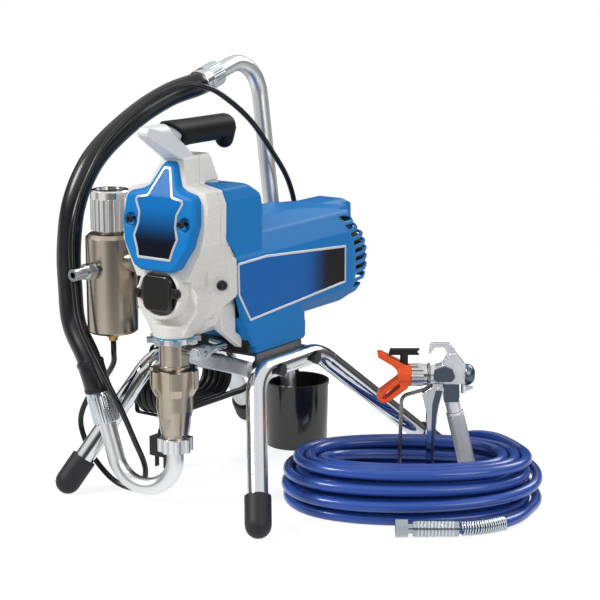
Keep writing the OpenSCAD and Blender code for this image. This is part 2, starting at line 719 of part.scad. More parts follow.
lay_angle = atan2(lay_z - motor_z, lay_x);          // from the motor shaft to the lay shaft
crank_angle = atan2(crank_z - lay_z, -lay_x);       // from the lay shaft to the crank shaft
module motor_rotor() {
    color("#8d7b5a") {
        rod_y(0, stator_y0 + 4, stator_y0 + stator_len - 4, motor_z, 46);
        rod_y(0, 30, 300, motor_z, shaft_d);
        rod_y(0, stator_y0 - 18, stator_y0 - 2, motor_z, 30);
        gear_y(0, motor_z, 22, 38, module_1, pinion_teeth, lay_angle);
    }
}
module cooling_fan() {
    color("#3b3b3b") difference() {
        union() {
            rod_y(0, 262, 286, motor_z, 26);
            rod_y(0, 283, 286, motor_z, fan_d);
            for (k = [0:fan_blades - 1]) translate([0, 0, motor_z]) rotate([0, 360 * k / fan_blades, 0])
                translate([8, 264, -1]) cube([fan_d / 2 - 9, 20, 2]);
        }
        rod_y(0, 261, 287, motor_z, shaft_d);
    }
}
module intermediate_gear() {
    color("#a8a49a") {
        gear_y(lay_x, lay_z, 23, 31, module_1, lay_teeth, lay_angle + 180 + 180 / lay_teeth);
        gear_y(lay_x, lay_z, 31, 40, module_2, lay_pinion_teeth, crank_angle);
        rod_y(lay_x, 16, case_rear_y - 1, lay_z, 10);
    }
}
crank_throw = stroke / 2;
module crank_gear() {
    color("#b5b1a8") {
        gear_y(0, crank_z, 32, 39, module_2, crank_teeth, crank_angle + 180 + 180 / crank_teeth);
        rod_y(0, 38, case_rear_y - 1, crank_z, crank_bearing_d);
        rod_y(0, 12, 33, crank_z, 34);
        rod_y(0, 9, 13, crank_z + crank_throw, 14);
    }
}
// The rod's big end stops just short of the crank pin.
module connecting_rod() {
    color("#9a9a98") difference() {
        union() {
            rod_y(0, -9, 8.4, crank_z + crank_throw, 26);
            translate([-7, -6, pin_z]) cube([14, 12, crank_z - pin_z]);
            rod_y(0, -9, 9, pin_z, 20);
        }
        rod_y(0, -2, 9.4, crank_z + crank_throw, 17);
        translate([0, 0, pin_z - 30]) cylinder(h = 30 + 6, d = rod_d + 0.4);
    }
}
cylinder_z0 = 128;
piston_z = cylinder_z0 + stroke + 3;
module piston_rod() {
    color("#d9dadb") {
        translate([0, 0, piston_z + 5]) cylinder(h = pin_z - piston_z, d = rod_d);
        translate([0, 0, piston_z]) cylinder(h = 10, d = cylinder_bore - 2 * running);
    }
}

// ---------- pump ----------

valve_nut_z1 = 157;
intake_z1 = 129;
module pump_cylinder() {
    color("#a59d90") difference() {
        union() {
            translate([0, 0, cylinder_z0]) cylinder(h = case_bottom_z + 9 - cylinder_z0, d = cylinder_d);
            translate([0, 0, valve_nut_z1 + 1]) cylinder(h = 4, d = cylinder_d + 2);
        }
        translate([0, 0, cylinder_z0 - 1]) cylinder(h = case_bottom_z - cylinder_z0, d = cylinder_bore);
        translate([0, 0, cylinder_z0 - 1]) cylinder(h = 90, d = rod_d + 2 * running);
        for (s = [-1, 1]) translate([s * (cylinder_d / 2 + 8.8), 0, 172])
            cube([20, cylinder_d + 2, 22], center = true);
    }
}
module star(d_out, d_in, points, t) {
    cylinder(h = t, d = d_in);
    for (k = [0:points - 1]) rotate([0, 0, 360 * k / points]) translate([d_in / 2 - 2, -4, 0.3])
        cube([(d_out - d_in) / 2 + 2, 8, t - 0.6]);
}
module jam_nut() {
    color("#c3c8cb") difference() {
        translate([0, 0, jam_nut_z - jam_nut_t]) star(jam_nut_d, jam_nut_d - 12, 8, jam_nut_t);
        translate([0, 0, jam_nut_z - jam_nut_t - 1]) cylinder(h = jam_nut_t + 2, d = cylinder_d + 2 * gap);
    }
}
module pump_gasket() {
    color("#2a8fb0") translate([0, 0, jam_nut_z]) difference() {
        cylinder(h = case_bottom_z - 1 - jam_nut_z, d = 45);
        translate([0, 0, -1]) cylinder(h = 6, d = cylinder_d + 2 * gap);
    }
}
// Six wings, full height on top and tapered into the cone below.
module valve_nut() {
    color("#8f857a") difference() {
        union() {
            translate([0, 0, 128]) cylinder(h = valve_nut_z1 - 128, d1 = wing_d - 11, d2 = wing_d - 8);
            intersection() {
                union() for (k = [0:5]) rotate([0, 0, 60 * k + 12]) translate([0, -6.5, 128])
                    cube([wing_d / 2, 13, valve_nut_z1 - 128]);
                union() {
                    translate([0, 0, 138]) cylinder(h = valve_nut_z1 - 138, d = wing_d);
                    translate([0, 0, 128]) cylinder(h = 10, d1 = wing_d - 12, d2 = wing_d);
                }
            }
        }
        translate([0, 0, 127]) cylinder(h = 50, d = cylinder_d + 2 * gap);
    }
}
module intake_valve() {
    color("#9c9388") difference() {
        union() {
            translate([0, 0, 112]) cylinder(h = cylinder_z0 - 0.3 - 112, d = intake_d + 1);
            translate([0, 0, suction_nut_z + 20])
                cylinder(h = 93 - suction_nut_z, d1 = 31, d2 = intake_d + 1);
            translate([0, 0, suction_nut_z + 8]) cylinder(h = 13, d = 26);
        }
        translate([0, 0, suction_nut_z]) cylinder(h = 66, d = 14);
        for (k = [0:2]) rotate([0, 0, 120 * k + 30]) translate([intake_d / 2 - 3, -8, 90]) cube([10, 16, 15]);
    }
}
module suction_nut() {
    color("#d4d6d8") difference() {
        translate([0, 0, suction_nut_z]) union() {
            cylinder(h = 15, d = suction_nut_d - 6);
            for (k = [0:7]) rotate([0, 0, 45 * k]) translate([suction_nut_d / 2 - 4, 0, 0.3])
                cylinder(h = 14.4, d = 8);
        }
        translate([0, 0, suction_nut_z - 1]) cylinder(h = 20, d = suction_d + 2 * gap);
        translate([0, 0, suction_nut_z + 7]) cylinder(h = 20, d = 26 + 2 * gap);
    }
}

// ---------- suction set ----------

// The tube below the pump lies in one upright plane through the pump axis.
tube_top_z = suction_nut_z + 7.5;
arc_z = 57;
lean_end = 60;
function u_point(s, z) = [-s * cos(suction_yaw), -s * sin(suction_yaw), z];
arc_end = [suction_bend * (1 + cos(suction_lean)), arc_z - suction_bend * sin(suction_lean)];
lean_dir = [sin(suction_lean), cos(suction_lean)];
u_axis = unit(u_point(lean_dir[0], lean_dir[1]));
u_end = u_point(arc_end[0] + lean_end * lean_dir[0], arc_end[1] + lean_end * lean_dir[1]);
// The straight runs would meet here, far below the bend.
u_corner = [0, 0, arc_z - suction_bend * tan((180 - suction_lean) / 2)];
module suction_tube() {
    color("#d9dadc") bent_rod([[0, 0, tube_top_z], u_corner, u_end], suction_bend, suction_d,
        suction_d - 2 * suction_wall);
}

// The rigid cane bends over beside the motor and stands in the drip cup.
cane_front = [-94, 183, 449];
cane_corner = [-96, 287, 476];
cane_knee = [-71, 293, 240];
cane_foot = [-38, 280, 20];
cane_u = unit(cane_corner - cane_front);
// Centre line of the suction hose, from the tube below the pump round to the cane.
hose_route = [u_end + u_axis * 0.3, u_end + u_axis * 14, u_end + u_axis * 24, [-99.5, -18.5, 144],
    [-110, -15.5, 161], [-134.5, -8, 191], [-143, -3, 232], [-147, 1, 272], [-147, 10, 318], [-144, 30, 356],
    [-139, 58, 384], [-129, 105, 414], [-112, 140, 434], cane_front - cane_u * 20, cane_front - cane_u * 13.5,
    cane_front - cane_u * 7, cane_front - cane_u * 0.3];
module suction_hose() {
    color("#2a2b2f") tube_along(curve(hose_route, 3), hose_d, 14, [1, 0, 0]);
}
module suction_cane() {
    color("#dcdde0") bent_rod([cane_front, cane_corner, cane_knee, cane_foot], suction_bend + 5, suction_d,
        suction_d - 2 * suction_wall);
}
// A cuff over the joint at p between a tube behind it and the hose ahead along u.
module cuff(p, u, tube_len, hose_len) {
    difference() {
        rod_between(p - u * tube_len, p + u * hose_len, ferrule_d);
        rod_between(p - u * (tube_len + 1), p + u * 0.2, suction_d + 2 * gap);
        rod_between(p + u * 0.1, p + u * (hose_len + 1), hose_d + 2 * gap);
    }
}
module hose_ferrules() {
    color("#c9ced2") {
        cuff(u_end, u_axis, 18, 18);
        cuff(cane_front, -cane_u, 24, 12);
    }
}

drain_route = [[-88, 4, 175.7], [-88, 4, 163], [-96, 12, 146], [-118, 20, 122], [-138, 16, 99],
    [-148, 14, 72], [-138, 12, 46], [-122, 12, 26], [-99, 12, 10], [-76, 13, 5], [-58, 12, 12],
    [-48, 6, 36], [-50, -10, 72], [-57, -24, 110], [-80, -34, 160], [-103, -34, 200],
    [-114, -29, 240], [-121, -24, 278], [-124, -14, 314], [-127, 12, 352], [-121, 45, 394],
    [-106, 95, 430], [-90, 136, 446], [-77, 158, 444], [-69, 182, 433], [-62, 226, 402], [-56, 262, 362],
    [-54, 296, 320], [-56, 316, 270], [-56, 318, 200], [-51, 310, 120], [-48, 302, 60]];
module drain_tube() {
    color("#202022") tube_along(curve(drain_route, 2), drain_d, 8, [0, 1, 0]);
}

// ---------- manifold ----------

manifold_y = 4;
module at_manifold() { translate([-manifold_x, manifold_y, 0]) children(); }
cap_z = manifold_z1 + 4;
neck_d = 30;
neck_h = 13;
module manifold_body() {
    color("#a89d8c") at_manifold() difference() {
        union() {
            translate([0, 0, manifold_z0]) cylinder(h = 2.5, d1 = manifold_d - 5, d2 = manifold_d);
            translate([0, 0, manifold_z0 + 2.5]) cylinder(h = manifold_z1 - manifold_z0 - 6.5, d = manifold_d);
            translate([0, 0, manifold_z1 - 4]) cylinder(h = 4, d1 = manifold_d, d2 = manifold_d - 8);
            translate([0, 0, manifold_z1 - bite]) cylinder(h = neck_h + bite, d = neck_d);
            // Bridge to the gear case, and the prime valve behind.
            rod_x(manifold_d / 2 - 3, manifold_x - 53.7, 0, 268, 24);
            rod_y(0, manifold_d / 2 - 3, manifold_d / 2 + 14, 214, 19);
        }
        translate([0, 0, manifold_z0 + 12]) cylinder(h = 150, d = 24);
        rod_y(0, -manifold_d / 2 - 1, -10, outlet_z, outlet_d + 0.1);
        rod_y(0, -manifold_d / 2 - 1, -manifold_d / 2 + 4, outlet_z, 19);
        translate([0, 0, manifold_z0 - 1]) cylinder(h = 9, d = 10.1);
        rod_y(0, manifold_d / 2 + 4, manifold_d / 2 + 15, 214, 8 + 2 * running);
    }
}
module filter_cap() {
    color("#c8c9cb") at_manifold() translate([0, 0, cap_z]) difference() {
        union() {
            cylinder(h = cap_h - 9, d = cap_d - 2);
            for (k = [0:cap_flutes - 1]) rotate([0, 0, 360 * k / cap_flutes])
                translate([cap_d / 2 - 1.2, 0, 0]) cylinder(h = cap_h - 9, d = 4.2);
            translate([0, 0, cap_h - 9.5]) cylinder(h = 8, d = cap_d + 1);
            translate([0, 0, cap_h - 1.5]) cylinder(h = 1.5, d1 = cap_d + 1, d2 = cap_d - 2);
        }
        translate([0, 0, cap_h - 1.6]) cylinder(h = 3, d = cap_d - 9);
        translate([0, 0, -1]) cylinder(h = neck_h - 3 + gap, d = neck_d + 2 * running);
        translate([0, 0, -1]) cylinder(h = cap_h - 9, d = 23);
    }
}
module filter_element() {
    color("#e8e2d0") at_manifold() {
        difference() {
            translate([0, 0, manifold_z0 + 14]) cylinder(h = 112, d = 18);
            translate([0, 0, manifold_z0 + 18]) cylinder(h = 120, d = 10);
        }
        translate([0, 0, manifold_z0 + 12.1]) cylinder(h = 2.2, d = 22);
    }
}
outlet_len = 36;
module outlet_nipple() {
    color("#c3c9cc") translate([-manifold_x, manifold_y - manifold_d / 2, 0]) difference() {
        union() {
            rod_y(0, -outlet_len, 16, outlet_z, outlet_d);
            translate([0, -16, outlet_z]) rotate([-90, 0, 0]) cylinder(h = 11, d = 19, $fn = 6);
        }
        rod_y(0, -outlet_len - 1, 17, outlet_z, 7);
    }
}
module drain_fitting() {
    color("#b08d3c") at_manifold() difference() {
        union() {
            translate([0, 0, manifold_z0 - 10]) cylinder(h = 17, d = 10);
            translate([0, 0, manifold_z0 - 6]) cylinder(h = 5.8, d = 15, $fn = 6);
        }
        translate([0, 0, manifold_z0 - 11]) cylinder(h = 30, d = 4);
    }
}
module prime_handle() {
    y0 = manifold_y + manifold_d / 2 + 14.4;
    color("#1d1d1f") translate([-manifold_x, 0, 214]) {
        rod_y(0, y0 - 9.5, y0 + 12, 0, 8);
        rod_y(0, y0, y0 + 12, 0, 18);
        hull() {
            rod_y(0, y0 + 4, y0 + 11, 0, 14, $fn = 32);
            rod_y(0, y0 + 4, y0 + 11, 22.5, 9, $fn = 32);
        }
    }
}
// High-pressure tube from the pump head back under the case to the manifold side.
module pressure_pipe() {
    z = 177;
    color("#c3c9cc") {
        rod_x(cylinder_d / 2 - 0.9, 31, 4, z, 9);
        rod_y(31, -4, 26, z, 9);
        for (k = [0:1]) translate([31, -3 + 13 * k, z]) rotate([-90, 0, 0]) cylinder(h = 8, d = 15, $fn = 6);
        bent_rod([[31, 26, z], [31, 54, z], [5, 60, z]], 10, 8);
    }
}

// ---------- controls ----------

control_z0 = plate_z + plate_t + 0.3;
control_z1 = 197;
control_y0 = 70;
control_y1 = 165;
control_x = 62;
knob_y = 100;
switch_y = 138;
module control_housing() {
    color("#1668b8") difference() {
        along_x(-control_x, shroud_half_w - 1) polygon(rounded([[control_y0, control_z0],
            [control_y1, control_z0], [control_y1 + 1, control_z1 - 8], [control_y1 - 10, 188],
            [control_y0 - 6, 195]], 3, 3));
        along_x(-control_x + 3, shroud_half_w - 4) polygon([[control_y0 + 3, control_z0 + 3],
            [control_y1 - 3, control_z0 + 3], [control_y1 - 3, 186], [control_y0 + 3, 190]]);
        for (s = [-1, 1]) translate([s * leg_x - 6, control_y0 - 8, control_z0 - 1]) cube([12, 24, 40]);
        rod_x(-control_x - 1, -control_x + 4, knob_y, 182, 8 + 2 * running);
        translate([-control_x - 1, switch_y - 10.5, 174]) cube([5, 21, 14]);
        rod_y(-38, control_y1 - 6, control_y1 + 4, 177, 12.1);
    }
}
module pressure_knob() {
    color("#222224") translate([-control_x - 0.4, knob_y, 182]) rotate([0, -90, 0]) {
        cylinder(h = 12, d1 = 25, d2 = 23);
        for (k = [0:11]) rotate([0, 0, 30 * k]) translate([11.4, 0, 0]) cylinder(h = 11, d = 3.2);
        translate([0, 0, 11]) cylinder(h = 4, d = 15);
        translate([-9, -1, 11.5]) cube([5, 2, 1.2]);
        translate([0, 0, -3]) cylinder(h = 4, d = 8);
    }
}
module power_switch() {
    color("#17171a") translate([-control_x, switch_y, 181]) rotate([0, 10, 0]) {
        rod_y(0, -10, 10, 0, 8);
        along_y(-9.8, 9.8) polygon([[-1.6, -5.8], [2.4, -6.4], [2.4, 6.4], [-1.6, 5.8], [-3.2, 5], [-1.4, 0],
            [-3.2, -5]]);
    }
}

// ---------- drip cup ----------

cup_x = -31;
cup_y = 279;
module drip_cup() {
    color("#161617") translate([cup_x, cup_y, 0]) {
        difference() {
            union() {
                cylinder(h = cup_h, d1 = cup_d - 3, d2 = cup_d);
                translate([0, 0, cup_h - 4]) cylinder(h = 4, d = cup_d + 2);
                // Toothed clip at the side that faces the stand.
                for (k = [0:6]) translate([-cup_d / 2 * cos(34) - 4, -cup_d / 2 * sin(34) - 4, 18 + 8 * k])
                    rotate([0, 0, 34]) cube([8, 6, 5]);
            }
            translate([0, 0, 3]) cylinder(h = cup_h, d1 = cup_d - 3 - 2 * cup_wall, d2 = cup_d - 2 * cup_wall);
        }
    }
}

// ---------- straps ----------

strap_t = 1.6;
module strap_ring(d, w) {
    difference() {
        cylinder(h = w, d = d + 2 * strap_t);
        translate([0, 0, -1]) cylinder(h = w + 2, d = d);
    }
}
module flat_band(inner, y) {
    along_y(y, y + 6) difference() {
        polygon(inset(rounded(inner, 3, 3), -strap_t));
        polygon(rounded(inner, 3, 3));
    }
}
module tie_straps() {
    color("#131314") {
        // Round the suction hose just above its lower cuff.
        p = u_end + u_axis * 18.4;
        translate(p) rotate([0, acos(u_axis[2]), atan2(u_axis[1], u_axis[0])]) strap_ring(hose_d + 2 * gap, 4);
        // Round the left run and the folded power cord, and round the cord alone.
        flat_band(strap_inner, strap_y);
        flat_band(tie_inner, tie_y);
    }
}

// ---------- power cord ----------

lead_exit = [-38, control_y1 + 26, 177];
module cord_strain_relief() {
    color("#1a1a1b") difference() {
        union() {
            rod_y(-38, control_y1 - 3, control_y1 + 5, 177, 12);
            rod_y(-38, control_y1 + 1, control_y1 + 4, 177, 17);
            translate([-38, control_y1 + 3, 177]) rotate([-90, 0, 0]) cylinder(h = 23, d1 = 14, d2 = 10.4);
        }
        rod_y(-38, control_y1 + 18, control_y1 + 30, 177, lead_d + 0.1);
    }
}

// The cord drops behind the plate and is folded into a hank under the left run.
// Its plug hangs down below the hank.
lead_pitch = lead_d + 0.8;
hank_x = -56.8;
hank_z = 104;
hank_r = 23.5;
hank_y0 = 52;
hank_y1 = 185;
hank_run = hank_y1 - hank_y0 - 2 * hank_r;
hank_arc = PI * hank_r;
hank_loop = 2 * (hank_run + hank_arc);
hank_last = hank_loops + 0.04;
// One point of the hank after u loops. The loops lie side by side.
function hank_point(u) =
    let (s = (u - floor(u)) * hank_loop, x = hank_x - lead_pitch * u,
         t = s < hank_run + hank_arc ? s - hank_run : s - 2 * hank_run - hank_arc,
         a = t / hank_r * 180 / PI)
    s < hank_run ? [x, hank_y1 - hank_r - s, hank_z - hank_r]
    : s < hank_run + hank_arc ? [x, hank_y0 + hank_r * (1 - sin(a)), hank_z - hank_r * cos(a)]
    : t < 0 ? [x, hank_y1 - hank_r + t, hank_z + hank_r]
    : [x, hank_y1 - hank_r * (1 - sin(a)), hank_z + hank_r * cos(a)];
hank_points = [for (k = [0:floor(hank_last * 24)]) hank_point(k / 24)];
hank_n = len(hank_points);
hank_self_gap = least([for (i = [0:hank_n - 1], j = [i + 12:hank_n - 2], t = [0, 0.5])
    norm(hank_points[i] - hank_points[j] * (1 - t) - hank_points[j + 1] * t) - lead_d]);
hank_in = hank_points[0] + [0, lead_d + 2, 0];
hank_out = hank_points[hank_n - 1] - [0, lead_d + 2, 0];
lead_in = [lead_exit, [-38, 214, 177], [-40, 238, 165], [-44, 250, 140], [-48, 248, 114], [-53, 232, 92],
    [-56.8, 206, 81], hank_in + [0, 12, 0], hank_in];
plug_y = 102;
plug_top = 48;
lead_out = [hank_out, hank_out - [0, 3, 0], hank_out - [0, 8, 0], [hank_out[0], 130, 78.5],
    [hank_out[0], 116, 73.5], [hank_out[0], 106, 65.5], [hank_out[0], plug_y, plug_top + 10],
    [hank_out[0], plug_y, plug_top + 5], [hank_out[0], plug_y, plug_top]];
module power_cord() {
    color("#161617") {
        tube_along(curve(lead_in, 2), lead_d, 8, [1, 0, 0]);
        tube_along(curve(lead_out, 2), lead_d, 8, [1, 0, 0]);
    }
}
module power_cord_hank() {
    echo(hank_self_gap = hank_self_gap, hank_length = hank_last * hank_loop);
    color("#161617") tube_along(concat([hank_in], hank_points, [hank_out]), lead_d, 6, [1, 0, 0]);
}
module power_plug() {
    color("#161617") translate([hank_out[0], plug_y, 0]) {
        translate([0, 0, plug_top - 9]) cylinder(h = 9, d1 = 14, d2 = 10);
        along_z(plug_top - 30, plug_top - 8) polygon(rounded([[-12, -12], [12, -12], [12, 8], [6, 14],
            [-6, 14], [-12, 8]], 3, 3));
        for (s = [-1, 1]) translate([s * 6.3 - 0.8, -6.5, plug_top - 45]) cube([1.6, 6.4, 16]);
        translate([0, 7, plug_top - 46]) cylinder(h = 17, d = 4.8);
    }
}
strap_y = 59.5;
tie_y = 86;
hank_left = hank_out[0] - lead_d / 2 - 0.4;
hank_right = hank_x + lead_d / 2 + 0.4;
hank_low = hank_z - hank_r - lead_d / 2 - 0.4;
hank_high = hank_z + hank_r + lead_d / 2 + 0.4;
strap_top = run_z + tube_d / 2 - 0.8;
strap_inner = [[hank_left, hank_low + 2.4], [hank_right, hank_low + 2.4], [hank_right, hank_high - 3],
    [-run_x + tube_d / 2 + 0.6, run_z - 3], [-run_x + tube_d / 2 - 2, run_z + 7], [-run_x + 5, strap_top],
    [-run_x - 6, strap_top], [-run_x - tube_d / 2 + 1, run_z + 7], [-run_x - tube_d / 2 - 2, run_z - 3],
    [hank_left, hank_high - 3]];
tie_inner = [[hank_left, hank_low], [hank_right, hank_low], [hank_right, hank_high], [hank_left, hank_high]];

// ---------- pressure hose ----------

coil_x = 196;
coil_y = 168;
coil_turn = 34.2;
coil_pitch = line_d + 1.15;
coil_layer_front = line_d + 4.4;
coil_layer_back = line_d + 0.8;
loops_per_layer = 3.5;
coil_r = 100;
coil_stretch = 41.5;
coil_start = -28;
coil_end = coil_loops - 0.84;
coil_steps = 24;
module at_coil() { translate([coil_x, coil_y, 0]) rotate([0, 0, coil_turn]) children(); }
function smooth(x) = let (c = min(1, max(0, x))) c * c * (3 - 2 * c);
function back_and_forth(w) = let (m = w - 2 * floor(w / 2)) m <= 1 ? m : 2 - m;
// One point of the coil after u loops. The loops widen and narrow in turn, layer upon layer.
function coil_point(u) =
    let (a = coil_start + 360 * u,
         b = coil_r - coil_pitch * loops_per_layer * back_and_forth(u / loops_per_layer),
         y = b * sin(a), back = min(1, max(0, (y + coil_r + 6) / (2 * coil_r + 12))),
         rise = coil_layer_front + (coil_layer_back - coil_layer_front) * back,
         layer = sum([for (j = [1:4]) smooth((u - loops_per_layer * j) / 0.5 + 0.5)]))
    [b * cos(a) + coil_stretch * sin(90 * cos(a)), y, line_d / 2 + 0.2 + layer * rise];
coil_loop_points = [for (k = [0:floor(coil_end * coil_steps)]) coil_point(k / coil_steps)];
coil_n = len(coil_loop_points);
// Visible end in front of the coil, other end on the floor behind it.
outlet_y = -125;
outlet_axis_z = hose_nut_w * 0.57735 + 0.1;
inlet_y = 122;
coil_lead_in = [[33, outlet_y, outlet_axis_z], [44, outlet_y, outlet_axis_z], [68, -118.5, 9.2], [95, -101, 8],
    [114, -78, 7]];
coil_lead_out = [[115, 52, 49.5], [99, 77, 49], [76, 98, 44], [44, 112, 31], [8, 119, 17], [-20, inlet_y, 10],
    [-38, inlet_y, outlet_axis_z], [-51, inlet_y, outlet_axis_z], [-62, inlet_y, outlet_axis_z]];
coil_first = curve(concat(coil_lead_in, [coil_loop_points[0], coil_loop_points[1]]), 4);
coil_last = curve(concat([coil_loop_points[coil_n - 2], coil_loop_points[coil_n - 1]], coil_lead_out), 4);
coil_path = concat([for (i = [0:len(coil_first) - 6]) coil_first[i]], coil_loop_points,
    [for (i = [5:len(coil_last) - 1]) coil_last[i]]);
function least(v) = min(v);
coil_lengths = [for (i = 0, l = 0; i < len(coil_path);
    l = l + (i + 1 < len(coil_path) ? norm(coil_path[i + 1] - coil_path[i]) : 0), i = i + 1) l];
coil_self_gap = least([for (i = [0:3:len(coil_path) - 1], j = [i + 1:len(coil_path) - 2])
    coil_lengths[j] - coil_lengths[i] > 80
        ? min([for (t = [0, 0.25, 0.5, 0.75])
            norm(coil_path[i] - coil_path[j] * (1 - t) - coil_path[j + 1] * t)]) - line_d
        : 100]);
module hose_coil() {
    echo(coil_length = coil_lengths[len(coil_path) - 1], coil_self_gap = coil_self_gap);
    color("#1c3fb4") at_coil() tube_along(coil_path, line_d, 6, [0, 0, 1]);
}

// Crimped end: swivel nut, ribbed ferrule, and a spring guard that follows the hose.
module hose_end(nut_x, crimp_x0, crimp_x1) {
    difference() {
        union() {
            translate([nut_x, 0, 0]) rotate([0, 90, 0]) cylinder(h = 13, d = hose_nut_w * 1.1547, $fn = 6);
            rod_x(nut_x + 12, crimp_x0 + 1, 0, 0, 11);
            rod_x(crimp_x0, crimp_x1, 0, 0, crimp_d);
            for (k = [0:3]) rod_x(crimp_x0 + 2 + 6 * k, crimp_x0 + 5 + 6 * k, 0, 0, crimp_d + 1);
        }
        rod_x(nut_x - 1, nut_x + 10, 0, 0, outlet_d);
        rod_x(nut_x, crimp_x0 + 12, 0, 0, 6);
        rod_x(crimp_x0 + 10, crimp_x1 + 1, 0, 0, line_d + 0.1);
    }
}
module hose_outlet_fitting() {
    color("#cfd4d6") at_coil() translate([0, outlet_y, outlet_axis_z]) hose_end(-22, -4, 44);
}
module hose_inlet_fitting() {
    color("#cfd4d6") at_coil() translate([-95, inlet_y, outlet_axis_z]) hose_end(-22, -4, 44);
}

// ---------- spray gun ----------

// Outlines here are (x, z), with the spray axis along -X and the gun's own floor at z = 0.
pivot = [29.6, 130];
neck = [48.8, 101];
nut_len = 17.5;
tip_x = -7.4;
module at_axis() { at_coil() translate([0, 0, gun_axis_z]) children(); }
module gun_plate(p, half, r = 0.8) { along_y(-half, half) polygon(r > 0 ? rounded(p, r, 2) : p); }
module at_handle() { at_coil() translate([neck[0], 0, neck[1]]) rotate([0, 180 - handle_lean, 0]) children(); }
module gun_body() {
    color("#d4d6d9") difference() {
        union() {
            at_axis() {
                rod_x(3, 20, 0, 0, 15);
                rod_x(19, 44, 0, 0, gun_body_d - 1);
                rod_x(58, 66, 0, 1, 17);
                translate([65.9, 0, 1]) rotate([0, 90, 0]) cylinder(h = 4.5, d1 = 17, d2 = 10);
            }
            at_coil() {
                gun_plate([[27, 135], [59.3, 134], [59.3, 155], [49.5, 167], [42, 167], [35, 155], [27, 153]], 8.5);
                gun_plate([[36, 136], [36.8, 114], [52, 114], [53, 120], [52.5, 136]], 8);
                gun_plate([[24, 137], [25, 127], [34.5, 126], [37, 137]], 5);
                // Hanging hook.
                gun_plate([[19.2, 167.2], [21.5, 166.4], [26, 173.6], [35.8, 173.6], [40, 166], [33.5, 155],
                    [40, 152], [50, 160], [48, 172], [41, 178.8], [23, 178.8], [20.5, 176]], 3.2, 0);
                rod_y(pivot[0], -10.6, 10.6, pivot[1], 4);
            }
            at_handle() translate([0, 0, -20]) cylinder(h = 19.8, d = 16.6);
        }
        at_axis() rod_x(2, 30, 0, 0, 5);
        at_handle() translate([0, 0, -12]) cylinder(h = 13, d = 9);
        at_coil() translate([lock_x, 0, 130]) cylinder(h = 8, d = 3 + 2 * running);
    }
}
handle_len = 70;
module gun_handle() {
    color("#b9bcc0") at_handle() difference() {
        cylinder(h = handle_len, d = handle_d - 3);
        translate([0, 0, -1]) cylinder(h = handle_len + 2, d = 9);
    }
}
swivel_w = 77.5;
module handle_swivel() {
    color("#c9cdd0") at_handle() difference() {
        union() {
            translate([0, 0, swivel_w]) cylinder(h = 12, d = 17, $fn = 6);
            translate([0, 0, swivel_w + 11]) cylinder(h = 13.5, d = outlet_d);
        }
        translate([0, 0, swivel_w - 1]) cylinder(h = 26, d = 6);
    }
}
module trigger() {
    color("#c7c9cd") at_coil() difference() {
        gun_plate([[23, 131], [24, 135.2], [34, 135.2], [36, 128], [31.5, 112], [29.5, 100], [27, 70], [25.6, 42],
            [21.5, 33], [12, 32.4], [11.6, 34.6], [16.6, 39], [18, 70], [18, 100], [12.8, 121], [13.5, 124]], 10, 0);
        along_y(-8.8, 8.8) polygon([[20, 140], [50, 140], [50, 20], [24, 30], [19, 38],
            [20.4, 70], [20.4, 101], [16.4, 121], [20, 126]]);
        // The guard wire passes through this notch.
        translate([8, -3.8, 119]) cube([14, 7.6, 20]);
        rod_y(pivot[0], -12, 12, pivot[1], 4 + 2 * running);
    }
}
lock_x = 58;
module trigger_lock() {
    color("#8f9296") at_coil() {
        translate([lock_x, 0, 124]) cylinder(h = 13, d = 3);
        translate([lock_x, 0, 122]) cylinder(h = 11.7, d = 5.6);
        gun_plate([[lock_x, 123], [68.5, 127], [68.5, 129], [lock_x, 130.6]], 1.6, 0);
    }
}
wire_d = 4.2;
wire_z = wire_d / 2 + 0.2;
module trigger_guard() {
    color("#a7a7a9") {
        at_coil() bent_rod([[21, 0, 127.6], [-9.5, 0, 118.4], [-12, 0, wire_z], [52, 0, wire_z], [55.8, 0, 27.5]],
            9, wire_d);
        at_coil() gun_plate([[18.2, 131.6], [18.2, 126], [21.2, 126], [21.2, 131.6]], 3, 0);
        at_handle() difference() {
            union() {
                translate([0, 0, handle_len + 0.2]) cylinder(h = 7, d = 21);
                translate([0, -3.4, handle_len + 0.2]) cube([13.4, 6.8, 7]);
            }
            translate([0, 0, handle_len - 1]) cylinder(h = 10, d = 9);
        }
        at_coil() difference() {
            translate([0, 0, gun_axis_z]) rod_x(18.2, 21.2, 0, 0, gun_body_d + 4);
            translate([0, 0, gun_axis_z]) rod_x(17, 22, 0, 0, gun_body_d - 0.8);
        }
    }
}
module guard_nut() {
    color("#8d9196") at_axis() difference() {
        union() {
            rod_x(0.3, nut_len, 0, 0, 23);
            for (k = [0:7]) rotate([45 * k, 0, 0]) rod_x(0.3, nut_len - 4, 0, 9.4, 7);
        }
        rod_x(-1, nut_len + 1, 0, 0, 15 + 2 * running);
        rod_x(-1, 3, 0, 0, 17);
    }
}
module tip_guard() {
    color("#f2611d") difference() {
        union() {
            at_axis() rod_x(-14, 0, 0, 0, 25);
            at_coil() {
                gun_plate([[-3, 146], [-3, 152], [-6, 155], [-33, 169], [-37, 168], [-36, 163.5], [-20, 154],
                    [-13, 146]], 8.5);
                difference() {
                    gun_plate([[-3, 130], [-3, 140], [-12, 142], [-35, 124], [-37, 117.5], [-32, 113.5],
                        [-25, 113.5]], 10.5);
                    gun_plate([[-11, 131], [-13, 135], [-31, 121], [-32, 118], [-27, 117.5]], 12);
                }
            }
        }
        at_coil() translate([tip_x, 0, 120]) cylinder(h = 60, d = 9 + 2 * running);
        at_axis() rod_x(-40, 1, 0, 0, 8);
    }
}
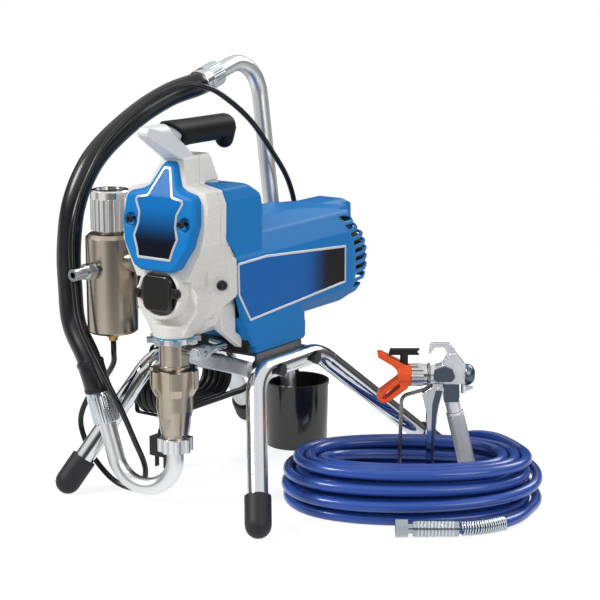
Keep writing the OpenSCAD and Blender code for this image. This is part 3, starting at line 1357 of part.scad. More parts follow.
module spray_tip() {
    color("#232325") at_coil() difference() {
        union() {
            translate([tip_x, 0, 131]) cylinder(h = 36, d = 9);
            gun_plate([[-24.4, 166], [-22.6, 172], [9.6, 172], [6.4, 168.6], [9.6, 165.2], [-22.6, 165.2]], 3.4, 0);
        }
        at_axis() rod_x(-30, 20, 0, 0, 3);
    }
}

// ---------- one node at a time ----------

machine() {
    frame_tube_right();
    frame_tube_left();
    frame_crossbars();
    mounting_plate();
    rubber_feet();
    screws_and_bolts();
    drive_housing();
    bearing_housing();
    handle_arm();
    handle_grip();
    front_cover();
    cover_labels();
    rod_door();
    motor_shroud();
    control_housing();
    pressure_knob();
    power_switch();
    prime_handle();
    motor_stator();
    motor_rotor();
    cooling_fan();
    intermediate_gear();
    crank_gear();
    connecting_rod();
    piston_rod();
    pump_cylinder();
    jam_nut();
    pump_gasket();
    valve_nut();
    intake_valve();
    suction_nut();
    suction_tube();
    hose_ferrules();
    suction_hose();
    suction_cane();
    drain_tube();
    drain_fitting();
    manifold_body();
    filter_cap();
    filter_element();
    outlet_nipple();
    pressure_pipe();
    drip_cup();
    tie_straps();
    cord_strain_relief();
    power_cord();
    power_cord_hank();
    power_plug();
    hose_coil();
    hose_outlet_fitting();
    hose_inlet_fitting();
    gun_body();
    gun_handle();
    handle_swivel();
    trigger();
    trigger_lock();
    trigger_guard();
    tip_guard();
    guard_nut();
    spray_tip();
}
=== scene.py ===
"""Looks of the airless paint sprayer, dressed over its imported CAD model.

Places are written in the machine's own millimetres, with the pump axis at x = 0, y = 0 and the floor
at z = 0. row() turns them into the row frame in metres. The gun and the coiled hose have a frame of
their own, turned round the upright, which beside() leads back into the machine's.
"""

import json
import math

import bmesh
import bpy
import numpy as np
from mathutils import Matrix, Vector


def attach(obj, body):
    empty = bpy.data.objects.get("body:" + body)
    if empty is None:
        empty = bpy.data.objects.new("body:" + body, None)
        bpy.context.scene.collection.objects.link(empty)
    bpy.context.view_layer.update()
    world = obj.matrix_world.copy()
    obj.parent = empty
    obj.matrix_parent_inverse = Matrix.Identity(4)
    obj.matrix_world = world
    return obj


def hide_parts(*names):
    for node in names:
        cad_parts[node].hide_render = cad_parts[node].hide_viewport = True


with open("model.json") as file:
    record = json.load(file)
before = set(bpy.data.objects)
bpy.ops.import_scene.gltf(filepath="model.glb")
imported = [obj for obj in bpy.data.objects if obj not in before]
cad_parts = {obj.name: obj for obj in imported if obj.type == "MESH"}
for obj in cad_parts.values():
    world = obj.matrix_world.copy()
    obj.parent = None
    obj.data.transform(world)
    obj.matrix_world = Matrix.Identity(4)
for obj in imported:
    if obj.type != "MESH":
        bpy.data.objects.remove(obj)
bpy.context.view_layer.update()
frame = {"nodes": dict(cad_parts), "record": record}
scene = bpy.context.scene

MM = 0.001
SAME_PLACE = 1e-6  # points closer than this, in metres, are one
ORIGIN = np.array([-51.3, -139.6, 0.0])
STATIC = "sprayer"
BODY = {n: b for b, nodes in frame["record"]["behaviour"]["bodies"].items() for n in nodes}
SLOT = {item["node"]: item["material_slot"] for item in frame["record"]["subparts"]}

# ---------- places ----------

# The gun's and coil's own frame: its origin in the machine's frame, and its turn.
COIL_X, COIL_Y, COIL_TURN = 196.0, 168.0, math.radians(34.2)


def row(p):
    return Vector((np.asarray(p, float) + ORIGIN) * MM)


def beside(p):
    """A point of the gun's and coil's own frame, in the machine's frame."""
    c, s = math.cos(COIL_TURN), math.sin(COIL_TURN)
    return np.array([COIL_X + p[0] * c - p[1] * s, COIL_Y + p[0] * s + p[1] * c, p[2]])


def unit(v):
    v = np.asarray(v, float)
    return v / np.linalg.norm(v)


def beside_way(v):
    """A direction of the gun's and coil's own frame, in the machine's frame."""
    return unit(beside(v) - beside((0, 0, 0)))


def curve_through(points, steps):
    """The smooth line that the CAD model draws through its route points."""
    p = [np.asarray(q, float) for q in points]
    line = []
    for i in range(len(p) - 1):
        a, b, c, d = p[max(i - 1, 0)], p[i], p[i + 1], p[min(i + 2, len(p) - 1)]
        for k in range(steps):
            t = k / steps
            line.append((2 * b + (c - a) * t + (2 * a - 5 * b + 4 * c - d) * t * t
                         + (3 * b - a - 3 * c + d) * t ** 3) / 2)
    return line + [p[-1]]


# ---------- camera, light and floor ----------

CAMERA_PLACE = (1139, -1435, 624)
AZIMUTH, ELEVATION = math.radians(34.2), math.radians(12.1)
FOCAL_LENGTH, SENSOR_WIDTH = 105, 36
ahead = Vector((-math.sin(AZIMUTH) * math.cos(ELEVATION), math.cos(AZIMUTH) * math.cos(ELEVATION),
                -math.sin(ELEVATION)))
lens = bpy.data.cameras.new("camera")
lens.lens, lens.sensor_width = FOCAL_LENGTH, SENSOR_WIDTH
lens.clip_end = 30
camera = bpy.data.objects.new("camera", lens)
camera.location = row(CAMERA_PLACE)
camera.rotation_euler = ahead.to_track_quat("-Z", "Y").to_euler()
scene.collection.objects.link(camera)
scene.camera = camera
scene.view_settings.view_transform = "Standard"


def lamp(name, place, aim, size, power):
    """A round soft lamp, its places in metres in the row frame."""
    light = bpy.data.lights.new(name, "AREA")
    light.shape, light.size, light.energy = "DISK", size, power
    obj = bpy.data.objects.new(name, light)
    obj.location = place
    obj.rotation_euler = (Vector(aim) - Vector(place)).to_track_quat("-Z", "Y").to_euler()
    scene.collection.objects.link(obj)


lamp("key", (-1.3, -1.9, 2.2), (0, 0, 0.2), 1.1, 66)
lamp("fill", (2.4, -0.9, 1.3), (0, 0, 0.2), 1.6, 22)
lamp("rim", (0.6, 2.3, 2.0), (0, 0, 0.25), 1.4, 32)


def node(tree, kind, *values, **settings):
    """A new shader node. Each value goes on the input at its place, as a number or a link."""
    made = tree.nodes.new("ShaderNode" + kind)
    for name, value in settings.items():
        setattr(made, name, value)
    for socket, value in zip(made.inputs, values):
        if isinstance(value, bpy.types.NodeSocket):
            tree.links.new(value, socket)
        elif value is not None:
            socket.default_value = value
    return made


def ramp(tree, value, stops):
    """A grey level for the value: stops holds (value, level) pairs."""
    made = node(tree, "ValToRGB", value)
    marks = made.color_ramp.elements
    while len(marks) < len(stops):
        marks.new(0.5)
    for mark, (place, level) in zip(marks, stops):
        mark.position, mark.color = place, (level, level, level, 1)
    return made.outputs[0]


def either(tree, *rays):
    """1 where the ray is of one of the named kinds, else 0."""
    path = tree.nodes.new("ShaderNodeLightPath")
    total = path.outputs[rays[0]]
    for ray in rays[1:]:
        total = node(tree, "Math", total, path.outputs[ray], operation="ADD", use_clamp=True).outputs[0]
    return total


# The camera sees plain white. Gloss sees a studio of tall soft panels under a bright ceiling, with a
# dark gap above the panels, and other rays get plain soft room light.
world = bpy.data.worlds.new("studio")
scene.world = world
world.use_nodes = True
tree = world.node_tree
tree.nodes.clear()


PANELS_TURN = 0.655  # where the ring of panels starts, as a share of a whole turn


def tall_panels(tree, x, y):
    """The panels' brightness in the direction (x, y)."""
    turn = node(tree, "Math", y, x, operation="ARCTAN2").outputs[0]
    turn = node(tree, "Math", turn, 1 / math.tau, PANELS_TURN, operation="MULTIPLY_ADD").outputs[0]
    return ramp(tree, node(tree, "Math", turn, operation="FRACT").outputs[0], [
        (0.0, 0.12), (0.07, 0.16), (0.14, 0.85), (0.23, 0.95), (0.29, 0.22), (0.33, 0.9), (0.42, 1.0),
        (0.465, 0.35), (0.52, 0.16), (0.585, 0.2), (0.635, 0.9), (0.70, 1.0), (0.75, 0.2), (0.83, 0.85),
        (0.9, 0.25), (1.0, 0.12)])


ROOM_LIGHT = 0.42
towards = node(tree, "SeparateXYZ", node(tree, "TexCoord").outputs["Generated"]).outputs
around = tall_panels(tree, towards["X"], towards["Y"])
height = node(tree, "Math", towards["Z"], 0.5, 0.5, operation="MULTIPLY_ADD").outputs[0]
share = ramp(tree, height, [(0.0, 0.9), (0.5, 0.9), (0.525, 0.16), (0.67, 0.16), (0.74, 0.1)])
base = ramp(tree, height, [(0.0, 0.06), (0.5, 0.06), (0.525, 0.02), (0.67, 0.03), (0.74, 0.88),
                           (1.0, 0.9)])
studio = node(tree, "Math", around, share, base, operation="MULTIPLY_ADD").outputs[0]
panels = node(tree, "Background", studio)
white = node(tree, "Background", (1, 1, 1, 1), 1.0)
room = node(tree, "Background", (0.94, 0.97, 1, 1), ROOM_LIGHT)
mix = node(tree, "MixShader", either(tree, "Is Glossy Ray"), room.outputs[0], panels.outputs[0])
mix = node(tree, "MixShader", either(tree, "Is Camera Ray", "Is Transmission Ray"), mix.outputs[0],
           white.outputs[0])
node(tree, "OutputWorld", mix.outputs[0])

FLOOR_R, FLOOR_SIDES = 0.9, 96
FLOOR_GLOW, GLOW_SHARE = 1.27, 0.66
# In gloss, the gaps between the panels show in the floor from the first distance on, fully at the second.
GAPS_FROM, GAPS_FULL, GAPS_SHARE = 0.14, 0.34, 0.85

floor_mesh = bpy.data.meshes.new("floor")
floor_rim = [(FLOOR_R * math.cos(a), FLOOR_R * math.sin(a), 0)
             for a in (math.tau * k / FLOOR_SIDES for k in range(FLOOR_SIDES))]
floor_mesh.from_pydata(floor_rim, [], [tuple(range(FLOOR_SIDES))])
floor = bpy.data.objects.new("floor", floor_mesh)
scene.collection.objects.link(floor)
paper = bpy.data.materials.new("floor")
paper.use_nodes = True
tree = paper.node_tree
tree.nodes.clear()
matte = node(tree, "BsdfDiffuse", (0.88, 0.88, 0.89, 1))
spot = node(tree, "TexCoord").outputs["Object"]
spot_axes = node(tree, "SeparateXYZ", spot).outputs
lit = tall_panels(tree, spot_axes["X"], spot_axes["Y"])
gaps = node(tree, "Math", 1.0, lit, operation="SUBTRACT").outputs[0]
away = node(tree, "VectorMath", spot, operation="LENGTH").outputs["Value"]
away = node(tree, "MapRange", away, GAPS_FROM, GAPS_FULL, 0.0, GAPS_SHARE).outputs[0]
gaps = node(tree, "Math", gaps, away, operation="MULTIPLY").outputs[0]
gaps = node(tree, "Math", gaps, either(tree, "Is Glossy Ray"), operation="MULTIPLY").outputs[0]
strength = node(tree, "Math", gaps, -FLOOR_GLOW, FLOOR_GLOW, operation="MULTIPLY_ADD").outputs[0]
glow = node(tree, "Emission", (1, 1, 1, 1), strength)
part = node(tree, "Math", either(tree, "Is Camera Ray", "Is Glossy Ray", "Is Transmission Ray"), GLOW_SHARE,
            operation="MULTIPLY").outputs[0]
node(tree, "OutputMaterial", node(tree, "MixShader", part, matte.outputs[0], glow.outputs[0]).outputs[0])
floor_mesh.materials.append(paper)

# ---------- materials ----------

M = {}


def material(name, color, rough, metal=0.0, coat=0.0, grain=(600, 0.02), mottle=(18, 0.06),
             vary=0.05, edge=0.5, fade=None, spec=0.5):
    """A finish with mottled colour, varied roughness, a fine surface grain and softened edges.

    grain is (scale per metre, depth in mm) and mottle (scale per metre, share of the colour).
    fade is (axis, start, end, other colour): the colour runs into another one along that axis, in mm.
    """
    made = bpy.data.materials.new(name)
    made.use_nodes = True
    nodes, links = made.node_tree.nodes, made.node_tree.links
    shader = nodes["Principled BSDF"]
    shader.inputs["Metallic"].default_value = metal
    shader.inputs["Coat Weight"].default_value = coat
    shader.inputs["Coat Roughness"].default_value = 0.12
    shader.inputs["Specular IOR Level"].default_value = spec
    place = nodes.new("ShaderNodeTexCoord")

    cloud = nodes.new("ShaderNodeTexNoise")
    cloud.inputs["Scale"].default_value = mottle[0]
    cloud.inputs["Detail"].default_value = 5
    links.new(place.outputs["Object"], cloud.inputs["Vector"])
    tint = nodes.new("ShaderNodeMix")
    tint.data_type = "RGBA"
    for socket, share in ((tint.inputs[6], 1 - mottle[1]), (tint.inputs[7], 1 + mottle[1])):
        socket.default_value = (*(min(c * share, 1) for c in color), 1)
    links.new(cloud.outputs["Fac"], tint.inputs[0])
    paint = tint.outputs[2]
    if fade:
        axis, start, end, other = fade
        parts = nodes.new("ShaderNodeSeparateXYZ")
        links.new(place.outputs["Object"], parts.inputs[0])
        along = nodes.new("ShaderNodeMapRange")
        along.interpolation_type = "SMOOTHSTEP"
        along.inputs["From Min"].default_value = (start + ORIGIN[axis]) * MM
        along.inputs["From Max"].default_value = (end + ORIGIN[axis]) * MM
        links.new(parts.outputs[axis], along.inputs["Value"])
        run = nodes.new("ShaderNodeMix")
        run.data_type = "RGBA"
        run.inputs[7].default_value = (*other, 1)
        links.new(along.outputs["Result"], run.inputs[0])
        links.new(paint, run.inputs[6])
        paint = run.outputs[2]
    links.new(paint, shader.inputs["Base Color"])

    gloss = nodes.new("ShaderNodeMapRange")
    gloss.inputs["To Min"].default_value = max(rough - vary, 0.02)
    gloss.inputs["To Max"].default_value = rough + vary
    links.new(cloud.outputs["Fac"], gloss.inputs["Value"])
    links.new(gloss.outputs["Result"], shader.inputs["Roughness"])

    soft = nodes.new("ShaderNodeBevel")
    soft.samples = 4
    soft.inputs["Radius"].default_value = edge * MM
    fine = nodes.new("ShaderNodeTexNoise")
    fine.inputs["Scale"].default_value = grain[0]
    fine.inputs["Detail"].default_value = 3
    links.new(place.outputs["Object"], fine.inputs["Vector"])
    bump = nodes.new("ShaderNodeBump")
    bump.inputs["Distance"].default_value = grain[1] * MM
    bump.inputs["Strength"].default_value = 1.0
    links.new(fine.outputs["Fac"], bump.inputs["Height"])
    links.new(soft.outputs["Normal"], bump.inputs["Normal"])
    links.new(bump.outputs["Normal"], shader.inputs["Normal"])
    M[name] = made


BLUE = (0.006, 0.180, 0.50)
material("frame_tube", (0.68, 0.70, 0.72), 0.07, 1, grain=(120, 0.008), vary=0.03)
material("zinc_bar", (0.60, 0.63, 0.66), 0.26, 1, grain=(900, 0.03), mottle=(60, 0.22))
material("plate_steel", (0.10, 0.10, 0.105), 0.5, 0.3, grain=(1200, 0.03))
material("foot_rubber", (0.018, 0.018, 0.020), 0.5, grain=(1500, 0.03), spec=0.3)
material("screw_steel", (0.05, 0.05, 0.052), 0.33, 0.9, grain=(900, 0.02))
material("cast_white", (0.71, 0.69, 0.65), 0.5, grain=(1000, 0.14), mottle=(800, 0.3), edge=0.6, spec=0.4)
material("arm_silver", (0.70, 0.72, 0.74), 0.45, 0.15, grain=(1100, 0.10), mottle=(900, 0.16), edge=0.6)
material("grip_rubber", (0.005, 0.005, 0.0055), 0.5, grain=(1600, 0.04), spec=0.16)
material("blue_plastic", BLUE, 0.42, grain=(1500, 0.02), mottle=(9, 0.07), edge=0.8, spec=0.16)
material("label", BLUE, 0.3)
material("black_plastic", (0.010, 0.010, 0.011), 0.42, grain=(1300, 0.03), spec=0.3)
material("door_black", (0.008, 0.008, 0.007), 0.16, coat=0.3, grain=(200, 0.03), spec=0.4)
material("rotor_steel", (0.40, 0.33, 0.24), 0.4, 1, grain=(700, 0.05))
material("stator_steel", (0.20, 0.20, 0.21), 0.5, 0.8, grain=(700, 0.05))
material("gear_steel", (0.55, 0.54, 0.50), 0.32, 1, grain=(800, 0.03))
material("pump_nickel", (0.43, 0.38, 0.31), 0.22, 1, grain=(1000, 0.05), mottle=(900, 0.14), vary=0.06)
material("chrome_bright", (0.74, 0.73, 0.72), 0.10, 1, grain=(300, 0.02))
material("zinc", (0.58, 0.63, 0.66), 0.2, 1, grain=(800, 0.01), mottle=(60, 0.1), vary=0.04, edge=0.2)
material("gasket", (0.0, 0.31, 0.50), 0.35)
material("tube_alu", (0.73, 0.74, 0.75), 0.33, 1, grain=(500, 0.02), mottle=(30, 0.06))
material("ferrule", (0.62, 0.67, 0.70), 0.2, 1, grain=(700, 0.008), vary=0.04, edge=0.2)
material("hose_rubber", (0.011, 0.011, 0.013), 0.26, coat=0.1, grain=(260, 0.05), spec=0.4)
material("drain_plastic", (0.008, 0.008, 0.009), 0.22, coat=0.15, spec=0.35)
material("brass", (0.60, 0.42, 0.14), 0.3, 1)
material("filter_mesh", (0.55, 0.55, 0.52), 0.4, 1, grain=(2500, 0.1))
material("cup_black", (0.014, 0.013, 0.012), 0.12, coat=0.35, grain=(60, 0.05))
material("strap", (0.012, 0.012, 0.012), 0.4, spec=0.3)
material("cord_black", (0.010, 0.010, 0.011), 0.4, grain=(1400, 0.03), spec=0.35)
material("line_blue", (0.020, 0.070, 0.33), 0.22, coat=0.2, grain=(90, 0.05), mottle=(12, 0.16), spec=0.4)
material("gun_metal", (0.80, 0.81, 0.83), 0.2, 0.6, grain=(600, 0.03), mottle=(80, 0.14))
material("fitting_steel", (0.42, 0.47, 0.51), 0.2, 1, grain=(700, 0.02), edge=0.2)
material("gun_dark", (0.11, 0.14, 0.17), 0.26, 0.9, grain=(700, 0.04))
material("gun_grip", (0.50, 0.51, 0.53), 0.32, 0.9, grain=(900, 0.03))
material("trigger_chrome", (0.72, 0.74, 0.77), 0.09, 1, grain=(200, 0.02))
material("guard_wire", (0.30, 0.30, 0.29), 0.28, 1)
material("guard_orange", (0.80, 0.085, 0.010), 0.33, grain=(900, 0.03), mottle=(60, 0.05), spec=0.4)
material("tip_black", (0.010, 0.010, 0.010), 0.45, grain=(900, 0.04), spec=0.3)
material("nut_steel", (0.66, 0.66, 0.66), 0.16, 1, grain=(500, 0.03), mottle=(90, 0.15))
material("label_rim", (0.68, 0.69, 0.70), 0.32, 0.5, grain=(900, 0.02), edge=0.2)
material("label_front", (0.002, 0.003, 0.010), 0.3, coat=0.04, edge=0.2,
         fade=(2, 296, 340, (0.004, 0.145, 0.44)), spec=0.2)
material("label_side", (0.003, 0.115, 0.40), 0.32, coat=0.02, edge=0.2,
         fade=(1, 158, 214, (0.002, 0.002, 0.005)), spec=0.12)

for name, slot in SLOT.items():
    mesh = frame["nodes"][name].data
    mesh.materials.clear()
    mesh.materials.append(M[slot])
for name in ("hose_outlet_fitting", "hose_inlet_fitting"):
    frame["nodes"][name].data.materials[0] = M["fitting_steel"]

# ---------- making pieces ----------


def place_piece(obj, finish, body, nodes=()):
    """Gives the piece its finish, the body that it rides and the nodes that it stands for."""
    if obj.name not in scene.collection.objects:
        scene.collection.objects.link(obj)
    obj.data.materials.clear()
    obj.data.materials.append(M[finish])
    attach(obj, body)
    if nodes:
        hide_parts(*nodes)
    return obj


def mesh_piece(name, points, faces, finish, body=STATIC, nodes=(), slot=None, sharp=40):
    """A piece from points in the machine's frame. Edges over sharp degrees stay hard."""
    mesh = bpy.data.meshes.new(name)
    mesh.from_pydata([tuple(row(p)) for p in points], [], faces)
    form = bmesh.new()
    form.from_mesh(mesh)
    bmesh.ops.remove_doubles(form, verts=form.verts, dist=SAME_PLACE)
    bmesh.ops.recalc_face_normals(form, faces=form.faces)
    form.to_mesh(mesh)
    form.free()
    for face in mesh.polygons:
        face.use_smooth = True
    mesh.set_sharp_from_angle(angle=math.radians(sharp))
    return place_piece(bpy.data.objects.new(name, mesh), finish, body, nodes)


def round_line(name, line, d, finish, body=STATIC, nodes=(), sides=5):
    """A tube of diameter d along a line, as a curve."""
    data = bpy.data.curves.new(name, "CURVE")
    data.dimensions, data.bevel_depth, data.bevel_resolution = "3D", d / 2 * MM, sides
    data.use_fill_caps = True
    spline = data.splines.new("POLY")
    spline.points.add(len(line) - 1)
    for point, p in zip(spline.points, line):
        point.co = (*row(p), 1)
    return place_piece(bpy.data.objects.new(name, data), finish, body, nodes)


def spun(base, axis, profile, sides=64, flutes=None):
    """A form turned round an axis: profile holds (distance along the axis, radius), a closed loop.

    flutes is (number, depth, from, to): lengthwise grooves in the profile's points from .. to.
    """
    axis = unit(axis)
    across = unit(np.cross(axis, (0.3, 0.2, 1) if abs(axis[2]) < 0.9 else (1, 0.2, 0)))
    up = np.cross(axis, across)
    points, faces, n = [], [], len(profile)
    for k in range(sides):
        a = 2 * math.pi * k / sides
        spoke = across * math.cos(a) + up * math.sin(a)
        for i, (w, r) in enumerate(profile):
            if flutes and flutes[2] <= i <= flutes[3]:
                r -= flutes[1] * (0.5 + 0.5 * math.cos(flutes[0] * a))
            points.append(np.asarray(base) + axis * w + spoke * r)
    for k in range(sides):
        for i in range(n):
            j, m = (i + 1) % n, (k + 1) % sides
            faces.append((k * n + i, k * n + j, m * n + j, m * n + i))
    return points, faces


def turned(name, base, axis, profile, finish, body=STATIC, nodes=(), slot=None, sides=64, flutes=None):
    return mesh_piece(name, *spun(base, axis, profile, sides, flutes), finish, body, nodes, slot, 30)


def loft(*rings):
    """A closed form through rings of points, with flat ends."""
    n, points = len(rings[0]), [p for ring in rings for p in ring]
    faces = [tuple(range(n)), tuple(range(len(points) - n, len(points)))]
    faces += [(k * n + i, k * n + (i + 1) % n, (k + 1) * n + (i + 1) % n, (k + 1) * n + i)
              for k in range(len(rings) - 1) for i in range(n)]
    return points, faces


def along_y(outline, y0, y1):
    """A prism of an (x, z) outline."""
    return loft([(x, y0, z) for x, z in outline], [(x, y1, z) for x, z in outline])


def along_x(outline, x0, x1):
    """A prism of a (y, z) outline."""
    return loft([(x0, y, z) for y, z in outline], [(x1, y, z) for y, z in outline])


def hull(points):
    """The smallest convex form round the points."""
    form = bmesh.new()
    for p in points:
        form.verts.new(p)
    bmesh.ops.convex_hull(form, input=form.verts)
    bmesh.ops.delete(form, geom=[v for v in form.verts if not v.link_faces], context="VERTS")
    form.verts.index_update()
    found = [tuple(v.co) for v in form.verts], [tuple(v.index for v in f.verts) for f in form.faces]
    form.free()
    return found


def mirrored(half):
    """The closed (x, z) outline whose right half is given, from bottom to top."""
    return list(half) + [(-x, z) for x, z in reversed(half)]


def round_off(obj, voxel, rounds):
    """Makes one skin of the object's solids, with rounded edges."""
    skin = obj.modifiers.new("skin", "REMESH")
    skin.mode, skin.voxel_size, skin.use_smooth_shade = "VOXEL", voxel * MM, True
    relax = obj.modifiers.new("relax", "SMOOTH")
    relax.factor, relax.iterations = 0.5, rounds


def bent(shape, bend):
    """Moves a mesh's points by bend, which takes and returns an array of places in millimetres."""
    flat = np.empty(len(shape.vertices) * 3)
    shape.vertices.foreach_get("co", flat)
    placed = bend(flat.reshape(-1, 3) / MM - ORIGIN)
    shape.vertices.foreach_set("co", ((placed + ORIGIN) * MM).ravel())
    shape.update()
    return shape


def moulded(name, nodes, forms, voxel, rounds, finish, bend=None, copies=None):
    """One skin over copies of the nodes and the closed forms, joined and rounded, then bent in space.

    It stands for the nodes. copies names the nodes that are copied, where not all of them are.
    """
    form = bmesh.new()
    for n in (nodes if copies is None else copies):
        form.from_mesh(frame["nodes"][n].data)
    for points, faces in forms:
        made = [form.verts.new(row(p)) for p in points]
        for face in faces:
            form.faces.new([made[i] for i in face])
    bmesh.ops.remove_doubles(form, verts=form.verts, dist=SAME_PLACE)
    bmesh.ops.recalc_face_normals(form, faces=form.faces)
    mesh = bpy.data.meshes.new(name)
    form.to_mesh(mesh)
    form.free()
    source = bpy.data.objects.new(name + "_source", mesh)
    scene.collection.objects.link(source)
    round_off(source, voxel, rounds)
    ready = source.evaluated_get(bpy.context.evaluated_depsgraph_get())
    shape = bpy.data.meshes.new_from_object(ready)
    bpy.data.objects.remove(source)
    if bend:
        bent(shape, bend)
    return place_piece(bpy.data.objects.new(name, shape), finish, STATIC, nodes)


def soften(node, voxel, rounds, name):
    """The CAD node's form as one moulded or cast skin with rounded edges. It replaces the node."""
    obj = bpy.data.objects.new(name, frame["nodes"][node].data.copy())
    form = bmesh.new()
    form.from_mesh(obj.data)
    bmesh.ops.remove_doubles(form, verts=form.verts, dist=SAME_PLACE)
    form.to_mesh(obj.data)
    form.free()
    round_off(obj, voxel, rounds)
    return place_piece(obj, SLOT[node], BODY[node], [node])


# ---------- free cords ----------

HOSE_D = 12.0
COIL_TURNS = 13.16
COIL_R, COIL_STRETCH, COIL_START = 100.0, 41.5, -28.0
COIL_PITCH, PER_LAYER = HOSE_D + 1.15, 3.5
LAYER_STEPS, LAYER_EASE = 4, 0.5  # rises from layer to layer, and the turns that each takes
LAYER_FRONT, LAYER_BACK = HOSE_D + 4.4, HOSE_D + 0.8
# Points in a turn of the route and of the drawn hose, and steps between two points of the route.
COARSE, FINE, SPLINE_STEPS = 24, 60, 8
FITTING_Z = 17 * 0.57735 + 0.1  # half the fitting's hexagon over the floor
OUT_Y, IN_Y = -125.0, 122.0


def coil_point(u):
    """The coil's centre line after u turns. It winds in and out in layers, and the front lies higher."""
    a = math.radians(COIL_START + 360 * u)
    w = (u / PER_LAYER) % 2
    b = COIL_R - COIL_PITCH * PER_LAYER * (w if w <= 1 else 2 - w)
    y = b * math.sin(a)
    back = min(1, max(0, (y + COIL_R + HOSE_D / 2) / (2 * COIL_R + HOSE_D)))
    layer = 0
    for j in range(1, LAYER_STEPS + 1):
        c = min(1, max(0, (u - PER_LAYER * j) / LAYER_EASE + 0.5))
        layer += c * c * (3 - 2 * c)
    rise = LAYER_FRONT + (LAYER_BACK - LAYER_FRONT) * back
    return np.array([b * math.cos(a) + COIL_STRETCH * math.sin(math.pi / 2 * math.cos(a)), y,
                     HOSE_D / 2 + 0.2 + layer * rise])


coarse = [coil_point(k / COARSE) for k in range(int(COIL_TURNS * COARSE) + 1)]
hose_front = [[33, OUT_Y, FITTING_Z], [44, OUT_Y, FITTING_Z], [68, -118.5, 9.2], [95, -101, 8], [114, -78, 7]]
hose_back = [[115, 52, 49.5], [99, 77, 49], [76, 98, 44], [44, 112, 31], [8, 119, 17], [-20, IN_Y, 10],
             [-38, IN_Y, FITTING_Z], [-51, IN_Y, FITTING_Z], [-62, IN_Y, FITTING_Z]]
first = curve_through(hose_front + [coarse[0], coarse[1]], SPLINE_STEPS)
last = curve_through([coarse[-2], coarse[-1]] + hose_back, SPLINE_STEPS)
loops = [coil_point(k / FINE) for k in range(int((len(coarse) - 1) / COARSE * FINE) + 1)]
hose_line = [beside(p) for p in first[:-SPLINE_STEPS - 1] + loops + last[SPLINE_STEPS + 1:]]
hose_line.reverse()
pressure_hose = round_line("pressure_hose", hose_line, HOSE_D, "line_blue", nodes=["hose_coil"], sides=4)

# A coil spring guards the hose behind its crimped end. The wire follows the hose.
GUARD_START, GUARD_LEN, GUARD_R, GUARD_PITCH, GUARD_WIRE, GUARD_STEPS = 44.5, 52.0, 7.3, 2.75, 1.9, 16
guard_line = [p for p in first if p[0] >= GUARD_START]
run = [0.0]
for a, b in zip(guard_line, guard_line[1:]):
    run.append(run[-1] + float(np.linalg.norm(b - a)))
wire = []
for k in range(int(GUARD_LEN / GUARD_PITCH * GUARD_STEPS) + 1):
    s = k * GUARD_PITCH / GUARD_STEPS
    i = max(j for j in range(len(run) - 1) if run[j] <= s)
    t = (s - run[i]) / (run[i + 1] - run[i])
    here = guard_line[i] * (1 - t) + guard_line[i + 1] * t
    along = unit(guard_line[i + 1] - guard_line[i])
    side = unit(np.cross(along, (0, 0, 1)))
    top = np.cross(side, along)
    a = 2 * math.pi * k / GUARD_STEPS
    wire.append(beside(here + GUARD_R * (math.cos(a) * side + math.sin(a) * top)))
hose_guard = round_line("hose_guard", wire, GUARD_WIRE, "zinc", sides=2)

# The crimped sleeve's bright rings stand on the fitting's darker barrel.
CRIMP_R, GROOVE_R, CRIMP_BORE_R, CRIMP_PITCH, CRIMP_RINGS, CRIMP_LEN = 9.1, 8.3, 8.0, 3.6, 11, 41.5
crimps = [(0, CRIMP_BORE_R), (0, GROOVE_R)]
for k in range(CRIMP_RINGS):
    at = CRIMP_PITCH * k
    crimps += [(at + 1, CRIMP_R), (at + 2.6, CRIMP_R), (at + 3.2, GROOVE_R), (at + 4, GROOVE_R)]
crimps += [(CRIMP_LEN, GROOVE_R), (CRIMP_LEN, CRIMP_BORE_R)]
hose_crimp = turned("hose_crimp", beside((0, OUT_Y, FITTING_Z)), beside_way((1, 0, 0)), crimps, "ferrule",
                    slot="zinc")

LEAD_D = 7.8
# The hank is a stadium of turns in the (y, z) plane, laid side by side along -X.
HANK_X, HANK_Z, HANK_R, HANK_Y0, HANK_Y1, HANK_LAST = -56.8, 104.0, 23.5, 52.0, 185.0, 5.0
HANK_RUN = HANK_Y1 - HANK_Y0 - 2 * HANK_R
HANK_ARC = math.pi * HANK_R
HANK_PITCH, HANK_STEPS, LEAD_STEPS = LEAD_D + 0.8, 72, 6


def hank_point(u):
    """The hank's centre line after u turns."""
    s = (u - math.floor(u)) * 2 * (HANK_RUN + HANK_ARC)
    x = HANK_X - HANK_PITCH * u
    t = s - HANK_RUN if s < HANK_RUN + HANK_ARC else s - 2 * HANK_RUN - HANK_ARC
    a = t / HANK_R
    if s < HANK_RUN:
        return [x, HANK_Y1 - HANK_R - s, HANK_Z - HANK_R]
    if s < HANK_RUN + HANK_ARC:
        return [x, HANK_Y0 + HANK_R * (1 - math.sin(a)), HANK_Z - HANK_R * math.cos(a)]
    if t < 0:
        return [x, HANK_Y1 - HANK_R + t, HANK_Z + HANK_R]
    return [x, HANK_Y1 - HANK_R * (1 - math.sin(a)), HANK_Z + HANK_R * math.cos(a)]


